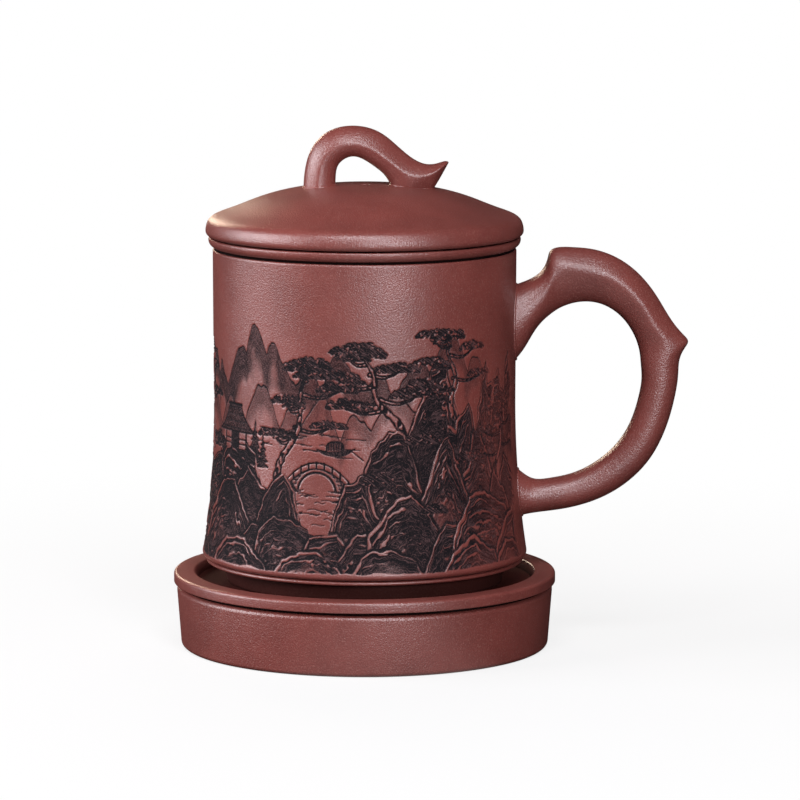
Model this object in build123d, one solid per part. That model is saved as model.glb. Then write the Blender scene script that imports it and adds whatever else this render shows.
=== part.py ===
from build123d import *
import os

# A clay tea cup: a lidded mug with a side handle and a strainer liner, standing on a drum-shaped saucer.
# Lengths are in millimetres. Z is up, X points along the handle, and the origin is the middle of the saucer's rest face.

# Saucer
SAUCER_RADIUS = 52.85
SAUCER_RIM_HEIGHT = 3.9
SAUCER_RIM_OVERHANG = 0.65
SAUCER_RIM_ROUND = 1.1
SAUCER_RIM_DRAFT = 1.0
SAUCER_SKIRT_HEIGHT = 16.9
SAUCER_SKIRT_TAPER = 1.3
SAUCER_WALL = 6.0
SAUCER_HEM_ROUND = 2.2
SAUCER_SHOULDER_ROUND = 1.4
SAUCER_INNER_ROUND = 0.6
SAUCER_FLOOR_THICKNESS = 4.0
WELL_DEPTH = 2.6

# Cup
CUP_RADIUS = 41.62
CUP_WALL = 3.7
CUP_WALL_HEIGHT = 85.2
CUP_MOUTH_FLARE = 0.15
CUP_HEM_FLARE = 3.25
CUP_HEM_ROUND = 1.5
CUP_WAIST_SHARE = 0.527
FLOOR_THICKNESS = 3.0
BASE_LINE_HEIGHT = 1.4
BASE_LINE_SET_IN = 1.0
BASE_LINE_ROUND = 0.6
FOOT_HEIGHT = 5.5
FOOT_SIDE_GAP = 7.2
FOOT_WALL = 5.0
FOOT_TAPER = 0.9
FOOT_ROUND = 0.8
MOUTH_RING_HEIGHT = 3.3
MOUTH_RING_OVERHANG = 1.18
MOUTH_RING_WIDTH = 2.5
MOUTH_RING_ROUND = 0.9

# Handle
HANDLE_REACH = 47.8
HANDLE_HEIGHT = 74.7
HANDLE_WIDTH = 12.4
HANDLE_MIDDLE_SHARE = 0.506
HANDLE_ROOT_MIDDLE_SHARE = 0.432

# Strainer liner
LINER_SIDE_GAP = 1.3
LINER_WALL = 2.6
LINER_DEPTH = 59.6
LINER_FLOOR_THICKNESS = 2.8
LINER_RIM_CLEARANCE = 0.35
LINER_RIM_DROP = 0.3
LINER_ROUND = 0.6
STRAINER_HOLE = 2.4
STRAINER_RINGS = 4
STRAINER_HOLES_PER_RING = 6
STRAINER_MARGIN = 6.0
STRAINER_WALL_ROWS = 2
STRAINER_WALL_HOLES = 18
STRAINER_ROW_PITCH = 7.0

# Lid
LID_OVERHANG = 0.8
LID_EDGE_HEIGHT = 5.1
LID_EDGE_TUCK = 0.8
LID_RISE = 9.25
LID_THICKNESS = 4.4
LID_FLANGE_CLEARANCE = 0.4
LID_FLANGE_WALL = 3.0
LID_FLANGE_DEPTH = 7.5
LID_FLANGE_ROUND = 0.7
VENT_DIAMETER = 2.2

# Knob
KNOB_LENGTH = 40.0
KNOB_HEIGHT = 16.1
KNOB_WIDTH = 10.8

# Handle stations from the upper root, over the thumb spur and the thorn, to the lower root. Each row holds shares:
# the outer point and the inner point across the reach and up the height, the width, the depth of the crown outside
# the side crease, and how far the crown narrows towards a keel.
HANDLE_ROOT_SHARES = (
    (-0.041, 0.853, -0.041, 0.556, 1.30, 0.50, 0.00),
    (0.040, 0.870, 0.046, 0.619, 1.16, 0.50, 0.00),
    (0.103, 0.888, 0.103, 0.682, 1.06, 0.50, 0.05),
    (0.149, 0.912, 0.149, 0.721, 1.00, 0.47, 0.15),
    (0.178, 0.946, 0.190, 0.745, 0.95, 0.38, 0.35),
    (0.193, 0.996, 0.247, 0.771, 0.92, 0.24, 0.70),
)
HANDLE_ARM_SHARES = (
    (0.193, 0.996, 0.247, 0.771, 0.92, 0.24, 0.70),
    (0.305, 1.000, 0.322, 0.790, 0.98, 0.29, 0.25),
    (0.444, 0.992, 0.415, 0.797, 1.00, 0.34, 0.15),
    (0.593, 0.957, 0.501, 0.786, 1.00, 0.36, 0.15),
    (0.726, 0.890, 0.582, 0.756, 0.98, 0.39, 0.15),
    (0.830, 0.801, 0.651, 0.708, 0.93, 0.41, 0.20),
    (0.905, 0.723, 0.692, 0.660, 0.88, 0.37, 0.35),
    (0.963, 0.678, 0.706, 0.634, 0.84, 0.33, 0.60),
    (1.000, 0.652, 0.715, 0.611, 0.81, 0.35, 0.85),
)
HANDLE_LOOP_SHARES = (
    (1.000, 0.652, 0.715, 0.611, 0.81, 0.35, 0.85),
    (0.968, 0.626, 0.720, 0.585, 0.81, 0.42, 0.50),
    (0.945, 0.597, 0.723, 0.563, 0.81, 0.48, 0.15),
    (0.937, 0.533, 0.726, 0.519, 0.81, 0.50, 0.00),
    (0.922, 0.444, 0.715, 0.455, 0.81, 0.50, 0.00),
    (0.870, 0.325, 0.668, 0.355, 0.81, 0.50, 0.00),
    (0.778, 0.210, 0.588, 0.270, 0.81, 0.50, 0.00),
    (0.634, 0.117, 0.478, 0.206, 0.81, 0.50, 0.00),
    (0.444, 0.052, 0.334, 0.158, 0.81, 0.50, 0.00),
    (0.247, 0.021, 0.190, 0.138, 0.82, 0.50, 0.00),
    (0.103, 0.009, 0.080, 0.143, 0.88, 0.50, 0.00),
    (0.034, 0.000, 0.025, 0.169, 1.00, 0.50, 0.00),
    (-0.052, -0.017, -0.052, 0.199, 1.16, 0.50, 0.00),
)

# Knob stations from the left foot, over the arch, to the lifted tip of the tail, in the same form.
KNOB_SHARES = (
    (-0.420, -0.142, -0.200, -0.142, 0.96, 0.50, 0.00),
    (-0.413, 0.187, -0.196, 0.187, 0.94, 0.50, 0.00),
    (-0.372, 0.570, -0.176, 0.343, 0.94, 0.52, 0.05),
    (-0.262, 0.885, -0.131, 0.439, 0.97, 0.53, 0.10),
    (-0.096, 1.000, -0.076, 0.474, 1.00, 0.54, 0.10),
    (0.069, 0.930, -0.014, 0.431, 1.00, 0.54, 0.10),
    (0.220, 0.666, 0.083, 0.274, 1.00, 0.52, 0.10),
    (0.337, 0.431, 0.165, 0.047, 1.02, 0.45, 0.10),
    (0.427, 0.343, 0.234, -0.229, 0.98, 0.31, 0.10),
    (0.503, 0.361, 0.344, -0.264, 0.78, 0.25, 0.15),
    (0.551, 0.390, 0.441, -0.246, 0.48, 0.17, 0.30),
    (0.575, 0.396, 0.496, -0.142, 0.14, 0.12, 0.50),
)

# Ends of the lid's three tangent arcs, outwards from the apex: the flat crown, the round shoulder and the hollow
# brim, each across the radius and up the rise.
LID_ARC_SHARES = ((0.46, 0.83), (0.697, 0.505), (0.966, 0))
LID_CEILING_SPRING_SHARE = 0.5

# Heights of the seats, from the rest face up
rim_base = SAUCER_SKIRT_HEIGHT
rim_top = rim_base + SAUCER_RIM_HEIGHT
well_floor = rim_top - WELL_DEPTH
foot_top = well_floor + FOOT_HEIGHT
wall_base = foot_top + BASE_LINE_HEIGHT
wall_top = wall_base + CUP_WALL_HEIGHT
mouth = wall_top + MOUTH_RING_HEIGHT
lid_edge_top = mouth + LID_EDGE_HEIGHT
lid_apex = lid_edge_top + LID_RISE

# Radii of the fits
skirt_radius = SAUCER_RADIUS - SAUCER_RIM_OVERHANG
well_radius = skirt_radius - SAUCER_WALL
foot_radius = well_radius - FOOT_SIDE_GAP
hem_radius = CUP_RADIUS + CUP_HEM_FLARE
mouth_radius = CUP_RADIUS + CUP_MOUTH_FLARE
mouth_ring_radius = mouth_radius + MOUTH_RING_OVERHANG
mouth_bore = mouth_ring_radius - MOUTH_RING_WIDTH
liner_radius = CUP_RADIUS - CUP_WALL - LINER_SIDE_GAP
liner_bore = liner_radius - LINER_WALL
liner_base = wall_top - LINER_DEPTH
lid_radius = mouth_ring_radius + LID_OVERHANG
flange_radius = liner_bore - LID_FLANGE_CLEARANCE
flange_bore = flange_radius - LID_FLANGE_WALL


def turned(corners):
    """Turns a closed section about Z. Each corner is its radius, its height and its rounding."""
    places = [(radius, height) for radius, height, rounding in corners]
    roundings = [rounding for radius, height, rounding in corners]
    outline = FilletPolyline(*places, radius=roundings, close=True)
    return revolve(Plane.XZ * make_face(outline), axis=Axis.Z)


def turned_edges(edges):
    """Turns a closed section of lines and curves about Z."""
    return revolve(Plane.XZ * make_face(edges), axis=Axis.Z)


def saucer_skirt():
    hem = skirt_radius - SAUCER_SKIRT_TAPER
    return turned([
        (well_radius, 0, SAUCER_INNER_ROUND),
        (hem, 0, SAUCER_HEM_ROUND),
        (skirt_radius, rim_base, SAUCER_SHOULDER_ROUND),
        (well_radius, rim_base, 0),
    ])


def saucer_rim():
    return turned([
        (well_radius, rim_base, 0),
        (SAUCER_RADIUS, rim_base, SAUCER_RIM_ROUND),
        (SAUCER_RADIUS, rim_top, SAUCER_RIM_ROUND),
        (well_radius + SAUCER_RIM_DRAFT, rim_top, SAUCER_INNER_ROUND),
        (well_radius, well_floor, 0),
    ])


def saucer_floor():
    return turned([
        (0, well_floor - SAUCER_FLOOR_THICKNESS, 0),
        (well_radius, well_floor - SAUCER_FLOOR_THICKNESS, 0),
        (well_radius, well_floor, 0),
        (0, well_floor, 0),
    ])


def cup_side(inset):
    """Edges of the cup's side from the mouth down to the hem, set in from the outer face."""
    waist = wall_base + CUP_WALL_HEIGHT * CUP_WAIST_SHARE
    upper = Line((mouth_radius - inset, wall_top), (CUP_RADIUS - inset, waist))
    lower = TangentArc(upper @ 1, (hem_radius - inset, wall_base + CUP_HEM_ROUND), tangent=upper % 1)
    return [upper, lower]


def cup_hem():
    """The rounded lower edge of the cup's side, which ends level on the base line."""
    lower = cup_side(0)[-1]
    heading = lower % 1
    rounding = CUP_HEM_ROUND / (1 + heading.X)
    return TangentArc(lower @ 1, (hem_radius + rounding * heading.Y, wall_base), tangent=heading)


def cup_core():
    """The whole cup's side filled to its axis, for seating the handle."""
    side = cup_side(0)
    hem = cup_hem()
    closing = Polyline(hem @ 1, (0, wall_base), (0, wall_top), side[0] @ 0)
    return turned_edges([*side, hem, closing])


def cup_cavity():
    """The space inside the cup's wall."""
    inner = cup_side(CUP_WALL)
    closing = Polyline(inner[-1] @ 1, (hem_radius - CUP_WALL, wall_base), (0, wall_base), (0, wall_top), inner[0] @ 0)
    return turned_edges([*inner, closing])


def cup_wall():
    return cup_core() - cup_cavity()


def cup_floor():
    edge = hem_radius - BASE_LINE_SET_IN
    base_line = turned([
        (0, foot_top, 0),
        (edge, foot_top, BASE_LINE_ROUND),
        (edge, wall_base, BASE_LINE_ROUND),
        (0, wall_base, 0),
    ])
    slab = Pos(0, 0, wall_base) * Cylinder(hem_radius, FLOOR_THICKNESS, align=(Align.CENTER, Align.CENTER, Align.MIN))
    return base_line + (cup_cavity() & slab)


def foot_ring():
    bore = foot_radius - FOOT_WALL
    return turned([
        (bore, well_floor, FOOT_ROUND),
        (foot_radius - FOOT_TAPER, well_floor, FOOT_ROUND),
        (foot_radius, foot_top, 0),
        (bore, foot_top, 0),
    ])


def mouth_ring():
    return turned([
        (mouth_bore, wall_top, 0),
        (mouth_ring_radius, wall_top, MOUTH_RING_ROUND),
        (mouth_ring_radius, mouth, MOUTH_RING_ROUND),
        (mouth_bore, mouth, 0),
    ])


def sculpted(stations, origin, length, height, width):
    """Lofts a creased bar through its stations, whose sections stand square to the XZ plane."""
    faces = []
    for outer_x, outer_z, inner_x, inner_z, width_share, crown_share, keel_share in stations:
        outer = origin + Vector(outer_x * length, 0, outer_z * height)
        inner = origin + Vector(inner_x * length, 0, inner_z * height)
        depth = outer - inner
        half = width * width_share / 2
        crown = depth.length * crown_share
        belly = depth.length - crown
        plane = Plane(outer - depth * crown_share, x_dir=(0, 1, 0), z_dir=Vector(0, 1, 0).cross(depth))
        # A cubic rises to three quarters of its two middle points' height.
        peak = crown * 4 / 3
        dip = belly * 4 / 3
        shoulder = half * (1 - keel_share)
        over = Bezier((-half, 0), (-shoulder, peak), (shoulder, peak), (half, 0))
        under = Bezier((half, 0), (half, -dip), (-half, -dip), (-half, 0))
        faces.append(plane * make_face([over, under]))
    return loft(faces)


def handle():
    middle = wall_base + CUP_WALL_HEIGHT * HANDLE_MIDDLE_SHARE
    origin = Vector(CUP_RADIUS, 0, middle - HANDLE_HEIGHT * HANDLE_ROOT_MIDDLE_SHARE)
    bar = Part()
    for stations in (HANDLE_ROOT_SHARES, HANDLE_ARM_SHARES, HANDLE_LOOP_SHARES):
        bar += sculpted(stations, origin, HANDLE_REACH, HANDLE_HEIGHT, HANDLE_WIDTH)
    return bar - cup_core()


def liner_rim():
    edge = mouth_bore - LINER_RIM_CLEARANCE
    top = mouth - LINER_RIM_DROP
    return turned([
        (liner_bore, wall_top, 0),
        (edge, wall_top, 0),
        (edge, top, LINER_ROUND),
        (liner_bore, top, LINER_ROUND),
    ])


def liner_wall():
    tube = turned([
        (liner_bore, liner_base, 0),
        (liner_radius, liner_base, LINER_ROUND),
        (liner_radius, wall_top, 0),
        (liner_bore, wall_top, 0),
    ])
    lowest_row = liner_base + LINER_FLOOR_THICKNESS + STRAINER_ROW_PITCH
    for row in range(STRAINER_WALL_ROWS):
        stagger = 180 / STRAINER_WALL_HOLES * row
        ring = PolarLocations(liner_radius, STRAINER_WALL_HOLES, start_angle=stagger)
        bore = Rot(0, 90, 0) * Cylinder(STRAINER_HOLE / 2, LINER_WALL * 4)
        tube -= [Pos(0, 0, lowest_row + STRAINER_ROW_PITCH * row) * place * bore for place in ring]
    return tube


def liner_floor():
    disc = turned([
        (0, liner_base, 0),
        (liner_bore, liner_base, 0),
        (liner_bore, liner_base + LINER_FLOOR_THICKNESS, 0),
        (0, liner_base + LINER_FLOOR_THICKNESS, 0),
    ])
    pitch = (liner_bore - STRAINER_MARGIN) / STRAINER_RINGS
    bore = Pos(0, 0, liner_base) * Cylinder(STRAINER_HOLE / 2, LINER_FLOOR_THICKNESS * 4)
    bores = [bore]
    for ring in range(1, STRAINER_RINGS + 1):
        bores += [place * bore for place in PolarLocations(pitch * ring, STRAINER_HOLES_PER_RING * ring)]
    return disc - bores


def lid_top():
    """Edges of the lid's upper face from its apex to its seat."""
    edges = []
    start = (0, lid_apex)
    heading = (1, 0)
    for across_share, up_share in LID_ARC_SHARES:
        end = (lid_radius * across_share, lid_edge_top + LID_RISE * up_share)
        arc = TangentArc(start, end, tangent=heading)
        edges.append(arc)
        start = end
        heading = arc % 1
    edge_middle = (lid_radius, mouth + LID_EDGE_HEIGHT / 2)
    edges.append(ThreePointArc(start, edge_middle, (lid_radius - LID_EDGE_TUCK, mouth)))
    return edges


def lid_core():
    """The lid's crown filled to its seat, for seating the knob."""
    top = lid_top()
    closing = Polyline(top[-1] @ 1, (0, mouth), top[0] @ 0)
    return turned_edges([*top, closing])


def lid_dome():
    hollow_height = lid_apex - LID_THICKNESS - mouth
    spring = (flange_bore, mouth + hollow_height * LID_CEILING_SPRING_SHARE)
    ceiling = TangentArc((0, mouth + hollow_height), spring, tangent=(1, 0))
    closing = Polyline(ceiling @ 1, (flange_bore, mouth), (0, mouth), ceiling @ 0)
    vent = Pos(0, 0, lid_apex) * Cylinder(VENT_DIAMETER / 2, LID_THICKNESS * 4)
    return lid_core() - turned_edges([ceiling, closing]) - vent


def lid_flange():
    tip = mouth - LID_FLANGE_DEPTH
    return turned([
        (flange_bore, tip, LID_FLANGE_ROUND),
        (flange_radius, tip, LID_FLANGE_ROUND),
        (flange_radius, mouth, 0),
        (flange_bore, mouth, 0),
    ])


def lid_knob():
    bar = sculpted(KNOB_SHARES, Vector(0, 0, lid_apex), KNOB_LENGTH, KNOB_HEIGHT, KNOB_WIDTH)
    return bar - lid_core()


PIECES = (
    saucer_skirt, saucer_rim, saucer_floor,
    cup_wall, cup_floor, foot_ring, mouth_ring, handle,
    liner_rim, liner_wall, liner_floor,
    lid_dome, lid_flange, lid_knob,
)

os.makedirs("parts", exist_ok=True)
for piece in PIECES:
    export_step(piece(), f"parts/{piece.__name__}.step")
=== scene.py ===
"""Dresses the packed clay tea cup: its turned, sculpted and carved pieces, its clay finishes and the studio.

Everything is in metres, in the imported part's own frame: Z is up, X points along the handle, and the camera
looks along +Y. Only the carved landscape is drawn in millimetres, on the cup's unrolled side.
"""

from __future__ import annotations

import logging
import math
from dataclasses import dataclass, field
from enum import Enum
from typing import Callable, Sequence

import bpy
import numpy as np
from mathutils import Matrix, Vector

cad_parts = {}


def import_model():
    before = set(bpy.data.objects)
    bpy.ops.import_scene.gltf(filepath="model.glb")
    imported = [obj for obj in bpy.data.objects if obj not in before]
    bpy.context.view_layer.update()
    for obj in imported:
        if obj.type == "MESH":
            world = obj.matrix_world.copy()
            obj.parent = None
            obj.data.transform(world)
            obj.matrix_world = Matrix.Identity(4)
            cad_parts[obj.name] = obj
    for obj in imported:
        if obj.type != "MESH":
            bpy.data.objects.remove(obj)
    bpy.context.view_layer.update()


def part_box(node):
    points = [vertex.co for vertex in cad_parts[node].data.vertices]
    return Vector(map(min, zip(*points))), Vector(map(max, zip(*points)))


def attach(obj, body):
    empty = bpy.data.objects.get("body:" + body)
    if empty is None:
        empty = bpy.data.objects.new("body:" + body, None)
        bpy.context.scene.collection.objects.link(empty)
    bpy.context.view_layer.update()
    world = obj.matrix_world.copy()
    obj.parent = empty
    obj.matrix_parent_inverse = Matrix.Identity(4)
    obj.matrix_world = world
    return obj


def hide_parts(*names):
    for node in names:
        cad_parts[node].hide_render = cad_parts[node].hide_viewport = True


LOG = logging.getLogger("clay_tea_cup")

Area = tuple[slice, slice]
Array = np.ndarray
Colour = tuple[float, float, float, float]
Corner = tuple[float, float, float]
Point = tuple[float, float, float]
Place = tuple[float, float]
Material = bpy.types.Material
Piece = bpy.types.Object
Station = tuple[float, float, float, float, float, float, float]
Line = Sequence[Place]
Ink = float | Callable[[Array, Array], Array]
Stand = Callable[[Array], Array]

# The carving's ink, which also holds the painted shade on the wall's top under the mouth ring.
INK_AND_SHADE_ATTRIBUTE = "ink"
FLOW_ATTRIBUTE = "flow"
# The share of painted shade: clay painted near black in grooves, slits, the foot and the saucer's well, where
# shade falls.
PAINTED_SHADE_ATTRIBUTE = "painted_shade"
DEEP_INK = 1.25
MILLIMETRE = 0.001
SHARP_ANGLE = math.radians(75)
ARC_STEPS = 8


class Body(Enum):
    """The loose bodies of the set."""

    SAUCER = "saucer"
    CUP = "cup"
    LINER = "liner"
    LID = "lid"


class Slot(Enum):
    """The record's finishes."""

    CLAY = "clay"
    CARVED = "carved_clay"


# Node trees


class Wire:
    """The value on a node's socket, with which sums can be written."""

    def __init__(self, bench: Bench, socket: bpy.types.NodeSocket) -> None:
        """Keeps the socket and the bench that new nodes go on."""
        self.bench = bench
        self.socket = socket

    def sum(self, operation: str, first: Wire | float, second: Wire | float) -> Wire:
        """Adds the Math node of one operation."""
        return self.bench.add("ShaderNodeMath", {"operation": operation}, {0: first, 1: second})

    def __add__(self, other: Wire | float) -> Wire:
        """Adds."""
        return self.sum("ADD", self, other)

    def __radd__(self, other: float) -> Wire:
        """Adds to a number."""
        return self.sum("ADD", other, self)

    def __sub__(self, other: Wire | float) -> Wire:
        """Takes away."""
        return self.sum("SUBTRACT", self, other)

    def __rsub__(self, other: float) -> Wire:
        """Takes away from a number."""
        return self.sum("SUBTRACT", other, self)

    def __mul__(self, other: Wire | float) -> Wire:
        """Multiplies."""
        return self.sum("MULTIPLY", self, other)

    def __rmul__(self, other: float) -> Wire:
        """Multiplies a number."""
        return self.sum("MULTIPLY", other, self)

    def __truediv__(self, other: Wire | float) -> Wire:
        """Divides."""
        return self.sum("DIVIDE", self, other)

    def __mod__(self, other: Wire | float) -> Wire:
        """The rest of a division."""
        return self.sum("MODULO", self, other)

    def __pow__(self, other: Wire | float) -> Wire:
        """Raises to a power."""
        return self.sum("POWER", self, other)

    def floor(self) -> Wire:
        """Rounds down."""
        return self.sum("FLOOR", self, 0.0)


class Bench:
    """A node tree, to which every node is added by one method."""

    def __init__(self, tree: bpy.types.NodeTree) -> None:
        """Starts on an emptied tree."""
        self.tree = tree
        self.tree.nodes.clear()

    def add(
        self,
        kind: str,
        settings: dict[str, object] | None = None,
        inputs: dict[str | int, object] | None = None,
        output: str | int = 0,
    ) -> Wire:
        """Adds a node.

        Args:
            kind: The node's type.
            settings: Its own settings, which are made first.
            inputs: A value or a wire for each socket that is set, by name or by number.
            output: The socket whose wire is wanted, by name or by number.

        Returns:
            The wire, or one without a socket where the node has no outputs.
        """
        node = self.tree.nodes.new(kind)
        for name, value in (settings or {}).items():
            setattr(node, name, value)
        for key, value in (inputs or {}).items():
            socket = self.find(node.inputs, key)
            if isinstance(value, Wire):
                self.tree.links.new(value.socket, socket)
            else:
                socket.default_value = value
        return Wire(self, self.find(node.outputs, output) if len(node.outputs) else None)

    @staticmethod
    def find(sockets: bpy.types.bpy_prop_collection, key: str | int) -> bpy.types.NodeSocket:
        """One of a node's sockets.

        Args:
            sockets: The node's inputs or outputs.
            key: The socket's number, or the name of one that is in use.

        Returns:
            The socket.
        """
        if isinstance(key, int):
            return sockets[key]
        return next(socket for socket in sockets if socket.enabled and socket.name == key)

    def group_input(self, name: str) -> Wire:
        """The wire of one of the tree's own inputs."""
        return self.add("NodeGroupInput", output=name)

    def mark(self, name: str) -> Wire:
        """The value of one of the piece's own attributes."""
        return self.add("ShaderNodeAttribute", {"attribute_name": name}, output="Fac")

    def place(self) -> Wire:
        """The place on the piece, in its own frame."""
        return self.add("ShaderNodeTexCoord", output="Object")

    def ray(self, kind: str) -> Wire:
        """Whether a ray is of one kind."""
        return self.add("ShaderNodeLightPath", output=kind)

    def ramp(self, value: Wire, low: float, high: float) -> Wire:
        """A smooth step of a value from 0 at low to 1 at high."""
        inputs = {"Value": value, "From Min": low, "From Max": high}
        return self.add("ShaderNodeMapRange", {"interpolation_type": "SMOOTHSTEP"}, inputs)

    def blend(self, share: Wire, first: Wire | Colour, second: Wire | Colour) -> Wire:
        """A mix of two colours."""
        inputs = {"Factor": share, "A": first, "B": second}
        return self.add("ShaderNodeMix", {"data_type": "RGBA"}, inputs, "Result")

    def cover(self, share: Wire, under: Wire, over: Wire) -> None:
        """Ends a material's tree with one shader laid over another."""
        mixed = self.add("ShaderNodeMixShader", inputs={0: share, 1: under, 2: over})
        self.add("ShaderNodeOutputMaterial", inputs={"Surface": mixed})


# Finishes


def new_finish(name: str) -> tuple[Material, Bench]:
    """A bare material, and the bench of its tree."""
    made = bpy.data.materials.new(name)
    made.use_nodes = True
    return made, Bench(made.node_tree)


@dataclass(frozen=True)
class ClayFinish:
    """Unglazed purple clay: a mottled body with pale specks, a fine leathery grain and a soft polish."""

    name: str = "purple_clay"
    deep: Colour = (0.162, 0.037, 0.030, 1)
    pale: Colour = (0.222, 0.053, 0.043, 1)
    tone_span: Place = (0.30, 0.70)
    mottle_scale: float = 60.0
    mottle_detail: float = 4.0
    mottle_roughness: float = 0.6
    mottle_share: float = 0.75
    speck: Colour = (0.30, 0.12, 0.10, 1)
    speck_scale: float = 2900.0
    speck_level: float = 0.63
    speck_edge: float = 0.06
    speck_share: float = 0.5
    grain_scale: float = 2300.0
    grain_detail: float = 2.0
    grain_rise: float = 0.8
    grain_dulling: float = 0.22
    pore_scale: float = 3000.0
    pore_rise: float = 0.3
    bump: float = 0.5
    bump_depth: float = 0.00030
    roughness: float = 0.36
    polish: float = 1.0
    # The near-black colour painted as shade in grooves, slits, the foot and the well, with its dull finish.
    painted_shade: Colour = (0.010, 0.004, 0.0035, 1)
    painted_shade_roughness: float = 0.9
    painted_shade_polish: float = 0.05

    def material(self) -> Material:
        """The finish as a material."""
        made, bench = new_finish(self.name)
        self.dress(bench)
        return made

    def noise(self, bench: Bench, scale: float, detail: float = 1.0, rough: float = 0.5) -> Wire:
        """A noise over the piece, in its own place."""
        inputs = {"Vector": bench.place(), "Scale": scale, "Detail": detail, "Roughness": rough}
        return bench.add("ShaderNodeTexNoise", inputs=inputs)

    def body(self, bench: Bench, grain: Wire) -> Wire:
        """The clay's colour.

        Args:
            bench: The material's bench.
            grain: The clay's grain.

        Returns:
            The mottled and speckled colour.
        """
        mottle = self.noise(bench, self.mottle_scale, self.mottle_detail, self.mottle_roughness)
        tone = mottle * self.mottle_share + grain * (1 - self.mottle_share)
        clay = bench.blend(bench.ramp(tone, *self.tone_span), self.deep, self.pale)
        specks = self.noise(bench, self.speck_scale, 0.0)
        share = bench.ramp(specks, self.speck_level, self.speck_level + self.speck_edge)
        return bench.blend(share * self.speck_share, clay, self.speck)

    def relief(self, bench: Bench, grain: Wire, cut: Wire | float = 0.0) -> Wire:
        """The fine relief of the surface.

        Args:
            bench: The material's bench.
            grain: The clay's grain.
            cut: How deep each place is cut.

        Returns:
            The bumped normal.
        """
        height = grain * self.grain_rise + self.noise(bench, self.pore_scale) * self.pore_rise - cut
        inputs = {"Height": height, "Strength": self.bump, "Distance": self.bump_depth}
        return bench.add("ShaderNodeBump", inputs=inputs)

    def clay(self, bench: Bench) -> Wire:
        """The clay's shader.

        Args:
            bench: The material's bench.

        Returns:
            The shader of clean clay.
        """
        grain = self.noise(bench, self.grain_scale, self.grain_detail)
        inputs = {
            "Base Color": self.body(bench, grain),
            "Roughness": (grain - 0.5) * self.grain_dulling + self.roughness,
            "Specular IOR Level": self.polish,
            "Normal": self.relief(bench, grain),
        }
        return bench.add("ShaderNodeBsdfPrincipled", inputs=inputs)

    def dress(self, bench: Bench) -> None:
        """Lays the clay, and a near-black painted shade where the piece is marked, in grooves and hollows
        where shade falls.

        Args:
            bench: The material's bench.
        """
        share = bench.mark(PAINTED_SHADE_ATTRIBUTE)
        inputs = {
            "Base Color": self.painted_shade,
            "Roughness": self.painted_shade_roughness,
            "Specular IOR Level": self.painted_shade_polish,
        }
        painted_shade = bench.add("ShaderNodeBsdfPrincipled", inputs=inputs)
        bench.cover(share, self.clay(bench), painted_shade)


@dataclass(frozen=True)
class RawClayFinish(ClayFinish):
    """The same clay where it is left without a polish."""

    name: str = "raw_purple_clay"
    roughness: float = 0.7
    polish: float = 0.1


@dataclass(frozen=True)
class CarvedClayFinish(ClayFinish):
    """The same clay with dark patina in what is carved, and fine tool strokes along its flow."""

    name: str = "carved_purple_clay"
    grain_scale: float = 2600.0
    bump_depth: float = 0.00026
    patina: Colour = (0.0080, 0.0065, 0.0085, 1)
    worn: Colour = (0.095, 0.052, 0.054, 1)
    patina_roughness: float = 0.70
    patina_polish: float = 0.14
    patina_span: Place = (0.06, 0.80)
    stroke_pitch: float = 0.75
    stroke_slant: float = 0.4
    stroke_depth: float = 0.6
    stroke_limit: float = 1.02
    dash_scale: float = 380.0
    dash_span: Place = (0.52, 0.59)
    fleck_scale: float = 2600.0
    fleck_span: Place = (0.58, 0.68)
    fleck_share: float = 0.8
    dust_span: Place = (0.35, 0.70)
    dust_cover: float = 0.12
    dust_tint: float = 0.6

    def strokes(self, bench: Bench) -> Wire:
        """The tool's strokes, in dashes that follow the flow.

        Args:
            bench: The material's bench.

        Returns:
            0 in a cut and 1 on a ridge.
        """
        over = bench.mark(FLOW_ATTRIBUTE) * (2 / self.stroke_pitch)
        over = bench.add("ShaderNodeCombineXYZ", inputs={"X": over, "Y": over * self.stroke_slant, "Z": 0.0})
        along = {0: bench.place(), "Scale": self.dash_scale}
        along = bench.add("ShaderNodeVectorMath", {"operation": "SCALE"}, along)
        vector = bench.add("ShaderNodeVectorMath", {"operation": "ADD"}, {0: along, 1: over})
        dashes = bench.add("ShaderNodeTexNoise", inputs={"Vector": vector, "Scale": 1.0, "Detail": 1.0})
        dashes = bench.ramp(dashes, *self.dash_span)
        flecks = bench.ramp(self.noise(bench, self.fleck_scale), *self.fleck_span)
        return dashes.sum("MAXIMUM", dashes, flecks * self.fleck_share)

    def dress(self, bench: Bench) -> None:
        """Lays the clay, and the patina where the piece is carved, which also stands as painted shade on the
        wall's top under the mouth ring.

        Args:
            bench: The material's bench.
        """
        ink = bench.mark(INK_AND_SHADE_ATTRIBUTE)
        dust = bench.ramp(self.noise(bench, self.pore_scale), *self.dust_span)
        strokes = self.strokes(bench) * (1 - bench.ramp(ink, self.stroke_limit, DEEP_INK))
        share = bench.ramp(ink - dust * self.dust_cover, *self.patina_span)
        tint = strokes * (dust * self.dust_tint + (1 - self.dust_tint))
        inputs = {
            "Base Color": bench.blend(tint, self.patina, self.worn),
            "Roughness": self.patina_roughness,
            "Specular IOR Level": self.patina_polish,
            "Normal": self.relief(bench, dust, (1 - strokes) * self.stroke_depth),
        }
        patina = bench.add("ShaderNodeBsdfPrincipled", inputs=inputs)
        bench.cover(share, self.clay(bench), patina)


# Outlines


def band(inner: float, outer: float, low: float, high: float, *rounds: float) -> list[Corner]:
    """The corners of a ring's section, from the inner lower one on, with a rounding for each or none."""
    places = ((inner, low), (outer, low), (outer, high), (inner, high))
    return [(*place, rounding) for place, rounding in zip(places, rounds or (0, 0, 0, 0))]


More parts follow.
